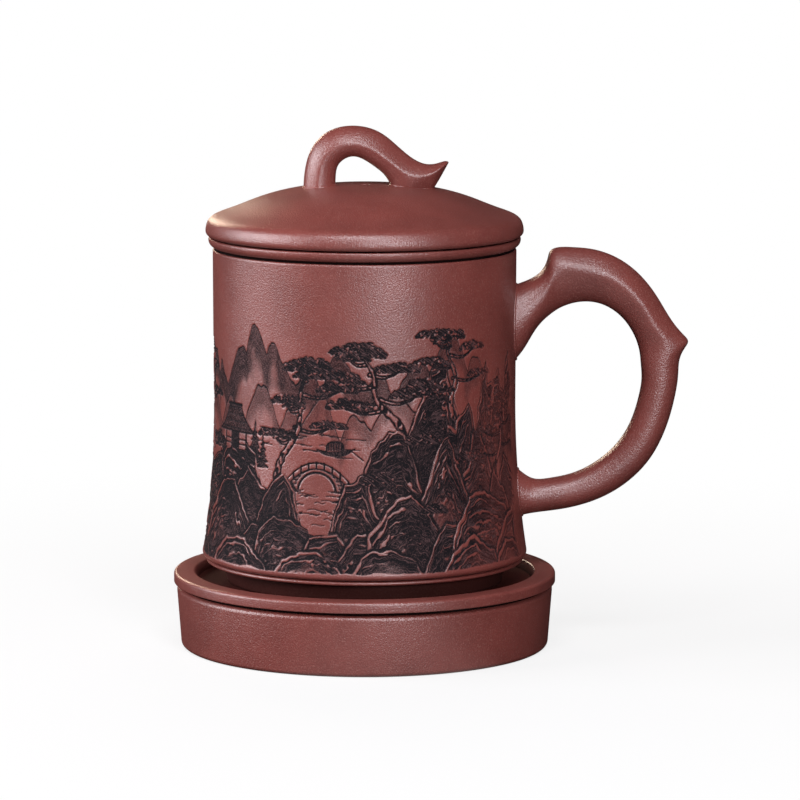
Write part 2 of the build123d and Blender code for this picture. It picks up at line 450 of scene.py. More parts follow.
def rounded_section(corners: Sequence[Corner]) -> Array:
    """A closed section whose corners are rounded by arcs.

    Args:
        corners: Each corner's radius, height and rounding, in order round the section.

    Returns:
        The section's points.
    """
    places = np.array([(radius, height) for radius, height, _ in corners])
    points = []
    for index, (_, _, rounding) in enumerate(corners):
        corner = places[index]
        if not rounding:
            points.append(corner)
            continue
        back = places[index - 1] - corner
        ahead = places[(index + 1) % len(corners)] - corner
        back = back / np.linalg.norm(back)
        ahead = ahead / np.linalg.norm(ahead)
        half = math.acos(float(back @ ahead)) / 2
        middle = corner + (back + ahead) / np.linalg.norm(back + ahead) * rounding / math.sin(half)
        start = corner + back * rounding / math.tan(half) - middle
        end = corner + ahead * rounding / math.tan(half) - middle
        turn = math.pi - 2 * half
        for share in np.linspace(0, 1, ARC_STEPS + 1):
            part = start * math.sin((1 - share) * turn) + end * math.sin(share * turn)
            points.append(middle + part / math.sin(turn))
    return np.array(points)


def tangent_arc(start: Place, heading: Place, end: Place, steps: int) -> tuple[Array, Place]:
    """An arc that leaves its start along a heading.

    Args:
        start: Where it starts.
        heading: Its direction there.
        end: Where it ends.
        steps: How many points it has after its start.

    Returns:
        Those points, and the direction at the end.
    """
    chord = np.array(end) - np.array(start)
    first = math.atan2(heading[1], heading[0])
    turn = math.atan2(chord[1], chord[0]) - first
    shares = np.arange(1, steps + 1) / steps
    lengths = np.linalg.norm(chord) * np.sin(turn * shares) / math.sin(turn)
    angles = first + turn * shares
    points = np.array(start) + lengths[:, None] * np.stack([np.cos(angles), np.sin(angles)], axis=1)
    last = first + 2 * turn
    return points, (math.cos(last), math.sin(last))


def natural_spline(knots: Array, values: Array, places: Array) -> Array:
    """A natural cubic spline.

    Args:
        knots: The rising places of the known values.
        values: The known values, one row for each knot.
        places: Where the spline is wanted.

    Returns:
        One row for each place.
    """
    gaps = np.diff(knots)
    count = len(knots)
    system = np.eye(count)
    jumps = np.zeros(values.shape)
    for row in range(1, count - 1):
        system[row, row - 1:row + 2] = gaps[row - 1], 2 * (gaps[row - 1] + gaps[row]), gaps[row]
        rise = (values[row + 1] - values[row]) / gaps[row]
        jumps[row] = 6 * (rise - (values[row] - values[row - 1]) / gaps[row - 1])
    bends = np.linalg.solve(system, jumps)
    index = np.clip(np.searchsorted(knots, places, side="right") - 1, 0, count - 2)
    gap = gaps[index][:, None]
    after = (places - knots[index])[:, None]
    before = gap - after
    curve = (bends[index] * before**3 + bends[index + 1] * after**3) / (6 * gap)
    low = (values[index] / gap - bends[index] * gap / 6) * before
    high = (values[index + 1] / gap - bends[index + 1] * gap / 6) * after
    return curve + low + high


def eased(value: Array | float, low: Array | float, high: Array | float) -> Array:
    """A smooth step from 0 at low to 1 at high."""
    share = np.clip((value - low) / (high - low), 0, 1)
    return share * share * (3 - 2 * share)


def pulse(value: Array, rise: Sequence[Array | float], fall: Sequence[Array | float]) -> Array:
    """A smooth step from 0 to 1 over the rise, and back to 0 over the fall."""
    return eased(value, *rise) * (1 - eased(value, *fall))


def lengths_along(line: Array) -> Array:
    """How far along a line each of its points is."""
    return np.concatenate([[0], np.cumsum(np.linalg.norm(np.diff(line, axis=0), axis=1))])


def evened(values: Array, axis: int) -> Array:
    """Values that run round one axis, each drawn towards the two beside it."""
    return (np.roll(values, 1, axis) + 2 * values + np.roll(values, -1, axis)) / 4


# Pieces


def linked(name: str, data: bpy.types.ID) -> Piece:
    """A new object in the scene."""
    made = bpy.data.objects.new(name, data)
    bpy.context.scene.collection.objects.link(made)
    return made


def mesh_object(name: str, points: Array, faces: Sequence[Sequence[int]], finish: Material) -> Piece:
    """A mesh in the scene.

    Args:
        name: The piece's name.
        points: Its points.
        faces: Its faces.
        finish: Its material.

    Returns:
        The object, which sits at the origin.
    """
    mesh = bpy.data.meshes.new(name)
    mesh.from_pydata(points, [], faces)
    mesh.shade_smooth()
    mesh.set_sharp_from_angle(angle=SHARP_ANGLE)
    mesh.materials.append(finish)
    return linked(name, mesh)


def ring_object(
    name: str, rings: Array, finish: Material, joined: bool = False, reverse: bool = False
) -> Piece:
    """A closed skin over rings of points.

    Args:
        name: The piece's name.
        rings: The rings in order, each with its points in order round it.
        finish: The piece's material.
        joined: Whether the last ring joins the first. Otherwise a face closes each end.
        reverse: Whether the points run the other way round.

    Returns:
        The object, which sits at the origin.
    """
    step = -1 if reverse else 1
    index = np.arange(rings.shape[0] * rings.shape[1]).reshape(rings.shape[:2])
    ahead = np.roll(index, -1, axis=0)
    others = [np.roll(index, -1, axis=1), np.roll(ahead, -1, axis=1), ahead]
    quads = np.stack([index, *others[::step]], axis=-1)
    if joined:
        faces = quads.reshape(-1, 4).tolist()
    else:
        ends = [index[0][::-step].tolist(), index[-1][::step].tolist()]
        faces = quads[:-1].reshape(-1, 4).tolist() + ends
    return mesh_object(name, rings.reshape(-1, 3), faces, finish)


def seat(piece: Piece, body: Body, node: str) -> None:
    """Puts a finished piece on its body, in place of its solid.

    Args:
        piece: The piece.
        body: The body that it moves with.
        node: The solid that it stands for.
    """
    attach(piece, body.value)
    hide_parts(node)
    LOG.info("%s rides on %s with %d faces", piece.name, body.value, len(piece.data.polygons))


@dataclass(frozen=True)
class Groove:
    """A zone of a section where the clay is painted dark as shade, such as the inside of a groove."""

    inner: float
    outer: float
    low: float
    high: float
    share: float = 1.0
    slack: float = 0.00001

    def painted_shade(self, section: Array) -> Array:
        """How dark a section is.

        Args:
            section: The section's radii and heights.

        Returns:
            The share of painted shade at each point.
        """
        deep = (section[:, 0] > self.inner - self.slack) & (section[:, 0] < self.outer + self.slack)
        level = (section[:, 1] > self.low - self.slack) & (section[:, 1] < self.high + self.slack)
        return np.where(deep & level, self.share, 0).astype(np.float32)


class Turning:
    """A node tree that turns a section about Z, as on a potter's wheel."""

    SWEEP_RADIUS = 1.0
    MERGE_DISTANCE = 2e-6
    # Steps round the wheel, and the angle between two faces, in radians, past which their edge is sharp.
    SIZES = {"Segments": 224, "Sharp Angle": 0.9}
    SOCKETS = {
        "Section": "NodeSocketGeometry",
        "Segments": "NodeSocketInt",
        "Sharp Angle": "NodeSocketFloat",
        "Clay": "NodeSocketMaterial",
    }

    def __init__(self, finish: Material) -> None:
        """Builds the tree.

        Args:
            finish: The clay of what is turned.
        """
        self.finish = finish
        self.tree = bpy.data.node_groups.new("turned_on_the_wheel", "GeometryNodeTree")
        self.inputs: dict[str, str] = {}
        for name, kind in self.SOCKETS.items():
            made = self.tree.interface.new_socket(name, in_out="INPUT", socket_type=kind)
            self.inputs[name] = made.identifier
        self.tree.interface.new_socket("Piece", in_out="OUTPUT", socket_type="NodeSocketGeometry")
        self.bench = Bench(self.tree)
        self.close(self.cut(self.turned()))

    def cut(self, form: Wire) -> Wire:
        """Leaves the turned form whole."""
        return form

    def turned(self) -> Wire:
        """The section swept round the axis.

        Returns:
            The form, with its poles closed.
        """
        bench = self.bench
        outline = bench.add("GeometryNodeMeshToCurve", inputs={"Mesh": bench.group_input("Section")})
        placed = {
            "Geometry": outline,
            "Rotation": (math.pi / 2, 0, 0),
            "Translation": (-self.SWEEP_RADIUS, 0, 0),
        }
        outline = bench.add("GeometryNodeTransform", inputs=placed)
        ring = {"Resolution": bench.group_input("Segments"), "Radius": self.SWEEP_RADIUS}
        path = bench.add("GeometryNodeCurvePrimitiveCircle", inputs=ring)
        form = bench.add("GeometryNodeCurveToMesh", inputs={"Curve": path, "Profile Curve": outline})
        form = bench.add("GeometryNodeFlipFaces", inputs={"Mesh": form})
        merged = {"Geometry": form, "Distance": self.MERGE_DISTANCE}
        return bench.add("GeometryNodeMergeByDistance", inputs=merged)

    def close(self, form: Wire) -> None:
        """Shades the form, gives it its clay and ends the tree.

        Args:
            form: The turned form.
        """
        bench = self.bench
        form = bench.add("GeometryNodeRealizeInstances", inputs={"Geometry": form})
        angle = bench.add("GeometryNodeInputMeshEdgeAngle", output="Unsigned Angle")
        smooth = angle.sum("LESS_THAN", angle, bench.group_input("Sharp Angle"))
        for domain, shade in (("FACE", True), ("EDGE", smooth)):
            inputs = {"Geometry": form, "Shade Smooth": shade}
            form = bench.add("GeometryNodeSetShadeSmooth", {"domain": domain}, inputs)
        clay = {"Geometry": form, "Material": bench.group_input("Clay")}
        form = bench.add("GeometryNodeSetMaterial", inputs=clay)
        bench.add("NodeGroupOutput", inputs={"Piece": form})

    def piece(self, name: str, section: Array, grooves: Sequence[Groove] = (), **sizes: float) -> Piece:
        """Turns one section.

        Args:
            name: The piece's name.
            section: The section's radii and heights, in order round it.
            grooves: The grooves whose insides are painted dark as shade.
            sizes: Further inputs of the tree, with an underscore for each space.

        Returns:
            The turned piece, as a plain mesh.
        """
        count = len(section)
        outline = bpy.data.meshes.new(name + "_section")
        points = [(radius, 0, height) for radius, height in section]
        outline.from_pydata(points, [(index, (index + 1) % count) for index in range(count)], [])
        # Each point takes the painted shade of the groove that holds it.
        painted_shades = [groove.painted_shade(section) for groove in grooves]
        dark = np.maximum.reduce([np.zeros(count, np.float32), *painted_shades])
        outline.attributes.new(PAINTED_SHADE_ATTRIBUTE, "FLOAT", "POINT").data.foreach_set("value", dark)
        wheel = linked(name + "_section", outline)
        modifier = wheel.modifiers.new("turned", "NODES")
        modifier.node_group = self.tree
        modifier[self.inputs["Clay"]] = self.finish
        named = {key.replace("_", " ").title(): value for key, value in sizes.items()}
        for key, value in {**self.SIZES, **named}.items():
            modifier[self.inputs[key]] = value
        evaluated = wheel.evaluated_get(bpy.context.evaluated_depsgraph_get())
        mesh = bpy.data.meshes.new_from_object(evaluated)
        mesh.name = name
        bpy.data.objects.remove(wheel)
        return linked(name, mesh)

    def turn(
        self, node: str, body: Body, corners: Sequence[Corner], grooves: Sequence[Groove] = (), **sizes: float
    ) -> None:
        """Turns a section with these corners, and puts the piece in place of its solid."""
        piece = self.piece(node + "_clay", rounded_section(corners), grooves, **sizes)
        seat(piece, body, node)


class Strainer(Turning):
    """A turned form that is pierced by rows of small holes."""

    BIT_SIDES = 20
    SOCKETS = {
        **Turning.SOCKETS,
        "Holes": "NodeSocketInt",
        "Hole Radius": "NodeSocketFloat",
        "Bit Length": "NodeSocketFloat",
        "Height": "NodeSocketFloat",
        "Pitch": "NodeSocketFloat",
    }

    def cut(self, form: Wire) -> Wire:
        """Takes the bits away from the form.

        Args:
            form: The turned form.

        Returns:
            The pierced form.
        """
        bench = self.bench
        size = {
            "Vertices": self.BIT_SIDES,
            "Radius": bench.group_input("Hole Radius"),
            "Depth": bench.group_input("Bit Length"),
        }
        bit = bench.add("GeometryNodeMeshCylinder", inputs=size)
        place, turn = self.layout(bench.add("GeometryNodeInputIndex"))
        spots = {"Count": bench.group_input("Holes"), "Position": place}
        spots = bench.add("GeometryNodePoints", inputs=spots)
        bits = {"Points": spots, "Instance": bit, "Rotation": turn}
        bits = bench.add("GeometryNodeInstanceOnPoints", inputs=bits)
        bits = bench.add("GeometryNodeRealizeInstances", inputs={"Geometry": bits})
        settings = {"operation": "DIFFERENCE", "solver": "EXACT"}
        return bench.add("GeometryNodeMeshBoolean", settings, {"Mesh 1": form, "Mesh 2": bits})

    def layout(self, index: Wire) -> tuple[Wire, Wire]:
        """The place and the turn of the hole of each index."""
        raise NotImplementedError

    def polar(self, radius: Wire, angle: Wire, height: Wire) -> Wire:
        """A place round the axis.

        Args:
            radius: How far it is from the axis.
            angle: Its angle round the axis.
            height: Its height.

        Returns:
            The place.
        """
        across = radius * angle.sum("COSINE", angle, 0.0)
        along = radius * angle.sum("SINE", angle, 0.0)
        return self.bench.add("ShaderNodeCombineXYZ", inputs={"X": across, "Y": along, "Z": height})


class FloorStrainer(Strainer):
    """Holes in rings round a middle one, each ring with six more than the last."""

    def layout(self, index: Wire) -> tuple[Wire, Wire]:
        """Lays the holes out in rings.

        Args:
            index: The hole's number.

        Returns:
            Its place and its turn.
        """
        # Ring r starts at index 3 r (r - 1) + 1, so that r is the root of a quadratic.
        spread = index.sum("MAXIMUM", index * 12.0 - 3.0, 0.0)
        ring = ((spread**0.5 + 3.0) / 6.0).floor()
        ring = ring.sum("MINIMUM", ring, index)
        first = ring * (ring - 1.0) * 3.0 + 1.0
        angle = (index - first) / ring.sum("MAXIMUM", ring * 6.0, 1.0) * math.tau
        place = self.polar(ring * self.bench.group_input("Pitch"), angle, self.bench.group_input("Height"))
        return place, self.bench.add("FunctionNodeEulerToRotation")


class WallStrainer(Strainer):
    """Staggered rows of holes round a wall."""

    STAGGER = 0.5
    SOCKETS = {**Strainer.SOCKETS, "Holes In Row": "NodeSocketInt", "Wall Radius": "NodeSocketFloat"}

    def layout(self, index: Wire) -> tuple[Wire, Wire]:
        """Lays the holes out in rows.

        Args:
            index: The hole's number.

        Returns:
            Its place and its turn.
        """
        bench = self.bench
        each = bench.group_input("Holes In Row")
        row = (index / each).floor()
        angle = (index % each + row * self.STAGGER) / each * math.tau
        height = bench.group_input("Height") + row * bench.group_input("Pitch")
        place = self.polar(bench.group_input("Wall Radius"), angle, height)
        euler = bench.add("ShaderNodeCombineXYZ", inputs={"X": 0.0, "Y": math.pi / 2, "Z": angle})
        return place, bench.add("FunctionNodeEulerToRotation", inputs={"Euler": euler})


@dataclass
class SculptedBar:
    """A creased bar of clay, drawn through stations that stand square to the XZ plane.

    Each station holds shares: the outer point and the inner point across the length and up the height, the
    width, the depth of the crown outside the side crease, and how far the crown narrows towards a keel.
    """

    origin: Vector
    length: float
    height: float
    width: float
    runs: Sequence[Sequence[Station]]
    ring_pitch: float = 0.0006
    half_ring: int = 44
    soften: int = 2
    undercut_share: float = 0.35

    def rings(self) -> Array:
        """Draws the bar through its stations.

        Returns:
            The bar's rings of points, in order along it.
        """
        rows = [np.array(run, float) for run in self.runs]
        table = np.concatenate([rows[0], *[run[1:] for run in rows[1:]]])
        middles = np.stack([table[:, 0] + table[:, 2], table[:, 1] + table[:, 3]], axis=1) / 2
        knots = lengths_along(middles * (self.length, self.height))
        first = 0
        rings = []
        for number, run in enumerate(rows):
            span = knots[first:first + len(run)]
            count = max(2, round((span[-1] - span[0]) / self.ring_pitch))
            places = np.linspace(span[0], span[-1], count + 1)[1 if number else 0:]
            # The outer line turns sharply where two runs meet, and the sides under it run on smoothly.
            sharp = natural_spline(span, run[:, :2], places)
            smooth = natural_spline(knots, table, places)
            rings += [self.ring(tip, row) for tip, row in zip(sharp, smooth)]
            first += len(run) - 1
        return np.array(rings)

    def ring(self, tip: Array, row: Array) -> Array:
        """One section, of a crown over the crease and a belly under it.

        Args:
            tip: The shares of the crown's top.
            row: The shares of the station.

        Returns:
            The section's points, in order round it.
        """
        size = np.array((self.length, self.height))
        outer, inner, top = row[:2] * size, row[2:4] * size, tip * size
        crease = outer + (inner - outer) * row[5]
        half = self.width * row[4] / 2
        keel = np.clip(row[6], 0, 1)
        shoulder = half * (1 - keel)
        waist = half * (1 - keel * self.undercut_share)
        share = np.arange(self.half_ring)[:, None] / self.half_ring
        # A cubic rises to three quarters of its two middle points' height.
        peak = 4 / 3
        over = self.bezier(share, (-half, 0), (-shoulder, peak), (shoulder, peak), (half, 0))
        under = self.bezier(share, (half, 0), (waist, peak), (-waist, peak), (-half, 0))
        level = np.concatenate([over[:, 1:] * (top - crease), under[:, 1:] * (inner - crease)]) + crease
        deep = np.concatenate([over[:, 0], under[:, 0]])
        return np.array(self.origin) + np.stack([level[:, 0], deep, level[:, 1]], axis=1)

    @staticmethod
    def bezier(share: Array, *ends: Place) -> Array:
        """Points on a cubic.

        Args:
            share: How far along it each point is.
            ends: Its four guiding points.

        Returns:
            The points.
        """
        a, b, c, d = (np.array(end) for end in ends)
        rest = 1 - share
        return a * rest**3 + 3 * b * rest**2 * share + 3 * c * rest * share**2 + d * share**3

    def softened(self) -> Array:
        """Softens the creases as a wet sponge does.

        Returns:
            The bar's rings, softened.
        """
        rings = self.rings()
        for _ in range(self.soften):
            rings = evened(rings, 1)
            rings[1:-1] = evened(rings, 0)[1:-1]
        return rings

    def seams(self, outside: Stand) -> list[Array]:
        """The two closed lines along which the bar meets a face.

        Args:
            outside: How far each place stands out of the face.

        Returns:
            The lines' points, in order round each.
        """
        rings = self.softened()
        stand = outside(rings)
        flips = stand[:-1] * stand[1:] < 0
        share = stand[:-1] / np.where(flips, stand[:-1] - stand[1:], 1)
        places = rings[:-1] + share[..., None] * (rings[1:] - rings[:-1])
        lines = [places[flips[:, column], column] for column in range(flips.shape[1])]
        rest = [line[1:] for line in lines if len(line) > 1]
        back = [line[-1] for line in rest[::-1] if len(line) > 1]
        return [np.array([line[0] for line in lines]), np.array([line[0] for line in rest] + back)]

    def lute(
        self, node: str, body: Body, clay: Material, bead: SlipBead, outside: Stand, out: Point
    ) -> None:
        """Puts the bar in place of its solid, with a thread of slip round each of its feet.

        Args:
            node: The solid that it stands for.
            body: The body that it moves with.
            clay: Its material.
            bead: The thread of slip.
            outside: How far each place stands out of the face under the bar.
            out: The way that this face looks.
        """
        seat(ring_object(node + "_clay", self.softened(), clay), body, node)
        for number, seam in enumerate(self.seams(outside)):
            seat(bead.piece(f"{node}_slip_{number}", seam, out, clay), body, node)


@dataclass(frozen=True)
class SlipBead:
    """The thread of slip that is smoothed round a joint."""

    radius: float
    points: int = 160
    sides: int = 10
    smoothing: int = 4

    def piece(self, name: str, seam: Array, out: Point, finish: Material) -> Piece:
        """Lays the thread along a closed seam.

        Args:
            name: The piece's name.
            seam: The seam's points, in order round it.
            out: The way that the face under the joint looks.
            finish: The piece's material.

        Returns:
            The thread.
        """
        for _ in range(self.smoothing):
            seam = evened(seam, 0)
        closed = np.concatenate([seam, seam[:1]])
        knots = lengths_along(closed)
        even = np.linspace(0, knots[-1], self.points, endpoint=False)
        line = np.stack([np.interp(even, knots, closed[:, axis]) for axis in range(3)], axis=1)
        along = np.roll(line, -1, axis=0) - np.roll(line, 1, axis=0)
        along /= np.linalg.norm(along, axis=1, keepdims=True)
        lift = np.array(out) - along * (along @ np.array(out))[:, None]
        lift /= np.linalg.norm(lift, axis=1, keepdims=True)
        side = np.cross(along, lift)
        turns = np.linspace(0, math.tau, self.sides, endpoint=False)[None, :, None]
        away = np.cos(turns) * lift[:, None] + np.sin(turns) * side[:, None]
        return ring_object(name, line[:, None] + self.radius * away, finish, joined=True)


@dataclass
class Saucer:
    """The drum-shaped saucer: a skirt, a proud rim above a groove, and the floor of a shallow well."""

    turning: Turning
    raw_turning: Turning
    wall: float = 0.0060
    taper: float = 0.0013
    hem_round: float = 0.0014
    shoulder_round: float = 0.0013
    rim_round: float = 0.0009
    rim_hem_round: float = 0.0003
    # How dark the well's floor is painted, as the shade under the cup.
    well_painted_shade: float = 0.7
    slit_height: float = 0.0009
    slit_depth: float = 0.0020
    rim_draft: float = 0.0010
    inner_round: float = 0.0006

    def build(self) -> None:
        """Builds and seats the saucer's pieces."""
        skirt_low, skirt_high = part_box("saucer_skirt")
        rim_low, rim_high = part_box("saucer_rim")
        floor_low, floor_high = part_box("saucer_floor")
        outer = skirt_high.y
        well = outer - self.wall
        slit = rim_high.y - self.slit_depth
        skirt = [
            (well, skirt_low.z, self.inner_round),
            (outer - self.taper, skirt_low.z, self.hem_round),
            (outer, skirt_high.z, self.shoulder_round),
            (min(slit, outer - self.shoulder_round), skirt_high.z, 0),
            (well, skirt_high.z, 0),
        ]
        rim = [
            (well, skirt_high.z, 0),
            (slit, skirt_high.z, 0),
            (slit, skirt_high.z + self.slit_height, 0),
            (rim_high.y, skirt_high.z + self.slit_height, self.rim_hem_round),
            (rim_high.y, rim_high.z, self.rim_round),
            (well + self.rim_draft, rim_high.z, self.inner_round),
            (well, floor_high.z, 0),
        ]
        # The slit under the rim and the well's floor are painted dark as shade.
        grooves = [
            Groove(0, slit, skirt_high.z, skirt_high.z + self.slit_height),
            Groove(0, well, floor_low.z, floor_high.z, self.well_painted_shade),
        ]
        self.turning.turn("saucer_skirt", Body.SAUCER, skirt, grooves)
        self.turning.turn("saucer_rim", Body.SAUCER, rim, grooves)
        floor = band(0, well, floor_low.z, floor_high.z)
        self.raw_turning.turn("saucer_floor", Body.SAUCER, floor, grooves)


HANDLE_ROOT: tuple[Station, ...] = (
    (-0.041, 0.853, -0.041, 0.556, 1.30, 0.50, 0.00),
    (0.040, 0.870, 0.046, 0.619, 1.16, 0.50, 0.00),
    (0.103, 0.888, 0.103, 0.682, 1.06, 0.50, 0.00),
    (0.149, 0.912, 0.149, 0.721, 1.00, 0.46, 0.08),
    (0.178, 0.946, 0.190, 0.745, 0.98, 0.43, 0.26),
    (0.192, 0.990, 0.247, 0.771, 0.97, 0.36, 0.46),
)
HANDLE_ARM: tuple[Station, ...] = (
    HANDLE_ROOT[-1],
    (0.248, 1.000, 0.285, 0.782, 0.98, 0.30, 0.60),
    (0.305, 1.000, 0.322, 0.790, 0.99, 0.31, 0.69),
    (0.444, 0.992, 0.415, 0.797, 1.00, 0.37, 0.70),
    (0.593, 0.957, 0.501, 0.786, 1.00, 0.385, 0.68),
    (0.726, 0.890, 0.582, 0.756, 0.98, 0.40, 0.66),
    (0.830, 0.801, 0.651, 0.708, 0.93, 0.42, 0.64),
    (0.905, 0.723, 0.692, 0.660, 0.88, 0.42, 0.60),
    (0.963, 0.678, 0.706, 0.634, 0.84, 0.42, 0.50),
    (1.008, 0.651, 0.715, 0.611, 0.81, 0.50, 0.30),
)
HANDLE_LOOP: tuple[Station, ...] = (
    HANDLE_ARM[-1],
    (0.975, 0.624, 0.720, 0.585, 0.81, 0.47, 0.08),
    (0.951, 0.594, 0.723, 0.563, 0.81, 0.49, 0.00),
    (0.941, 0.533, 0.728, 0.519, 0.81, 0.50, 0.00),
    (0.922, 0.444, 0.715, 0.455, 0.81, 0.50, 0.00),
    (0.870, 0.325, 0.668, 0.355, 0.81, 0.50, 0.00),
    (0.778, 0.210, 0.588, 0.270, 0.81, 0.50, 0.00),
    (0.634, 0.117, 0.478, 0.206, 0.81, 0.50, 0.00),
    (0.444, 0.052, 0.334, 0.158, 0.81, 0.50, 0.00),
    (0.247, 0.021, 0.190, 0.138, 0.82, 0.50, 0.00),
    (0.103, 0.009, 0.080, 0.143, 0.88, 0.50, 0.00),
    (0.034, 0.000, 0.025, 0.169, 1.00, 0.50, 0.00),
    (-0.052, -0.017, -0.052, 0.199, 1.16, 0.50, 0.00),
)
KNOB_BRIDGE: tuple[Station, ...] = (
    (-0.420, -0.142, -0.200, -0.142, 0.96, 0.46, 0.45),
    (-0.413, 0.187, -0.196, 0.187, 0.94, 0.46, 0.45),
    (-0.372, 0.570, -0.176, 0.343, 0.94, 0.49, 0.48),
    (-0.262, 0.885, -0.131, 0.439, 0.97, 0.53, 0.50),
    (-0.096, 1.000, -0.076, 0.474, 1.00, 0.54, 0.60),
    (0.069, 0.930, -0.014, 0.431, 1.00, 0.54, 0.66),
    (0.220, 0.666, 0.083, 0.274, 1.00, 0.52, 0.70),
    (0.337, 0.431, 0.165, 0.047, 1.02, 0.45, 0.70),
    (0.427, 0.343, 0.234, -0.229, 0.98, 0.31, 0.70),
    (0.503, 0.361, 0.344, -0.264, 0.80, 0.25, 0.70),
    (0.545, 0.392, 0.414, -0.240, 0.60, 0.16, 0.60),
    (0.568, 0.392, 0.462, -0.120, 0.34, 0.10, 0.40),
    (0.577, 0.372, 0.508, 0.060, 0.10, 0.06, 0.20),
)
# Shares of a pine's trunk and of its bend there, then its boughs' forks, reaches and lifts.
PINE_SWAY: tuple[Place, ...] = ((0.3, 0.7), (0.55, -0.5), (0.8, 0.35))
PINE_BOUGHS: tuple[Point, ...] = (
    (0.45, -8.5, 0.4),
    (0.55, 8, 0),
    (0.68, -7.2, 1.2),
    (0.8, 6.8, 0.8),
    (0.9, -4.2, 2),
)


def facets(side: Array, point: float, seed: int) -> Array:
    """The crest of a rock, as a broken line under an arch.

    Args:
        side: How far each place is from the rock's middle, as a share of half its width.
        point: How blunt the rock is.
        seed: The seed of its random numbers.

    Returns:
        The crest at each place, as a share of the rock's height.
    """
    picks = np.random.default_rng(seed)
    knots = np.array([-1.2, -1.0, -0.72, -0.42, -0.12, 0.2, 0.5, 0.8, 1.0, 1.2])
    knots[2:-2] += picks.uniform(-0.10, 0.10, 6)
    levels = np.clip(1 - np.abs(knots) ** point, 0, None) ** 0.8
    levels[2:-2] *= picks.uniform(0.86, 1.06, 6)
    return np.interp(side, knots, levels)


def from_line(points: Line, across: Array, up: Array) -> tuple[Array, Array]:
    """How far each place is from a line.

    Args:
        points: The line's points.
        across, up: Places along and up the wall.

    Returns:
        Each place's distance, and the share of the way along the line where it is nearest.
    """
    nearest = np.full(across.shape, np.inf)
    along = np.zeros(across.shape)
    count = len(points) - 1
    for index, ((x, z), (next_x, next_z)) in enumerate(zip(points, points[1:])):
        run, climb = next_x - x, next_z - z
        share = np.clip(((across - x) * run + (up - z) * climb) / (run * run + climb * climb), 0, 1)
        gap = np.hypot(across - x - share * run, up - z - share * climb)
        along = np.where(gap < nearest, (index + share) / count, along)
        nearest = np.minimum(gap, nearest)
    return nearest, along


def smooth_line(points: Line, pieces: int = 6) -> list[Place]:
    """A smooth line through a few points.

    Args:
        points: The points.
        pieces: How many pieces it has between two points.

    Returns:
        The line's points.
    """
    knots = lengths_along(np.array(points))
    places = np.linspace(0, knots[-1], pieces * (len(points) - 1) + 1)
    return [tuple(place) for place in natural_spline(knots, np.array(points, float), places)]


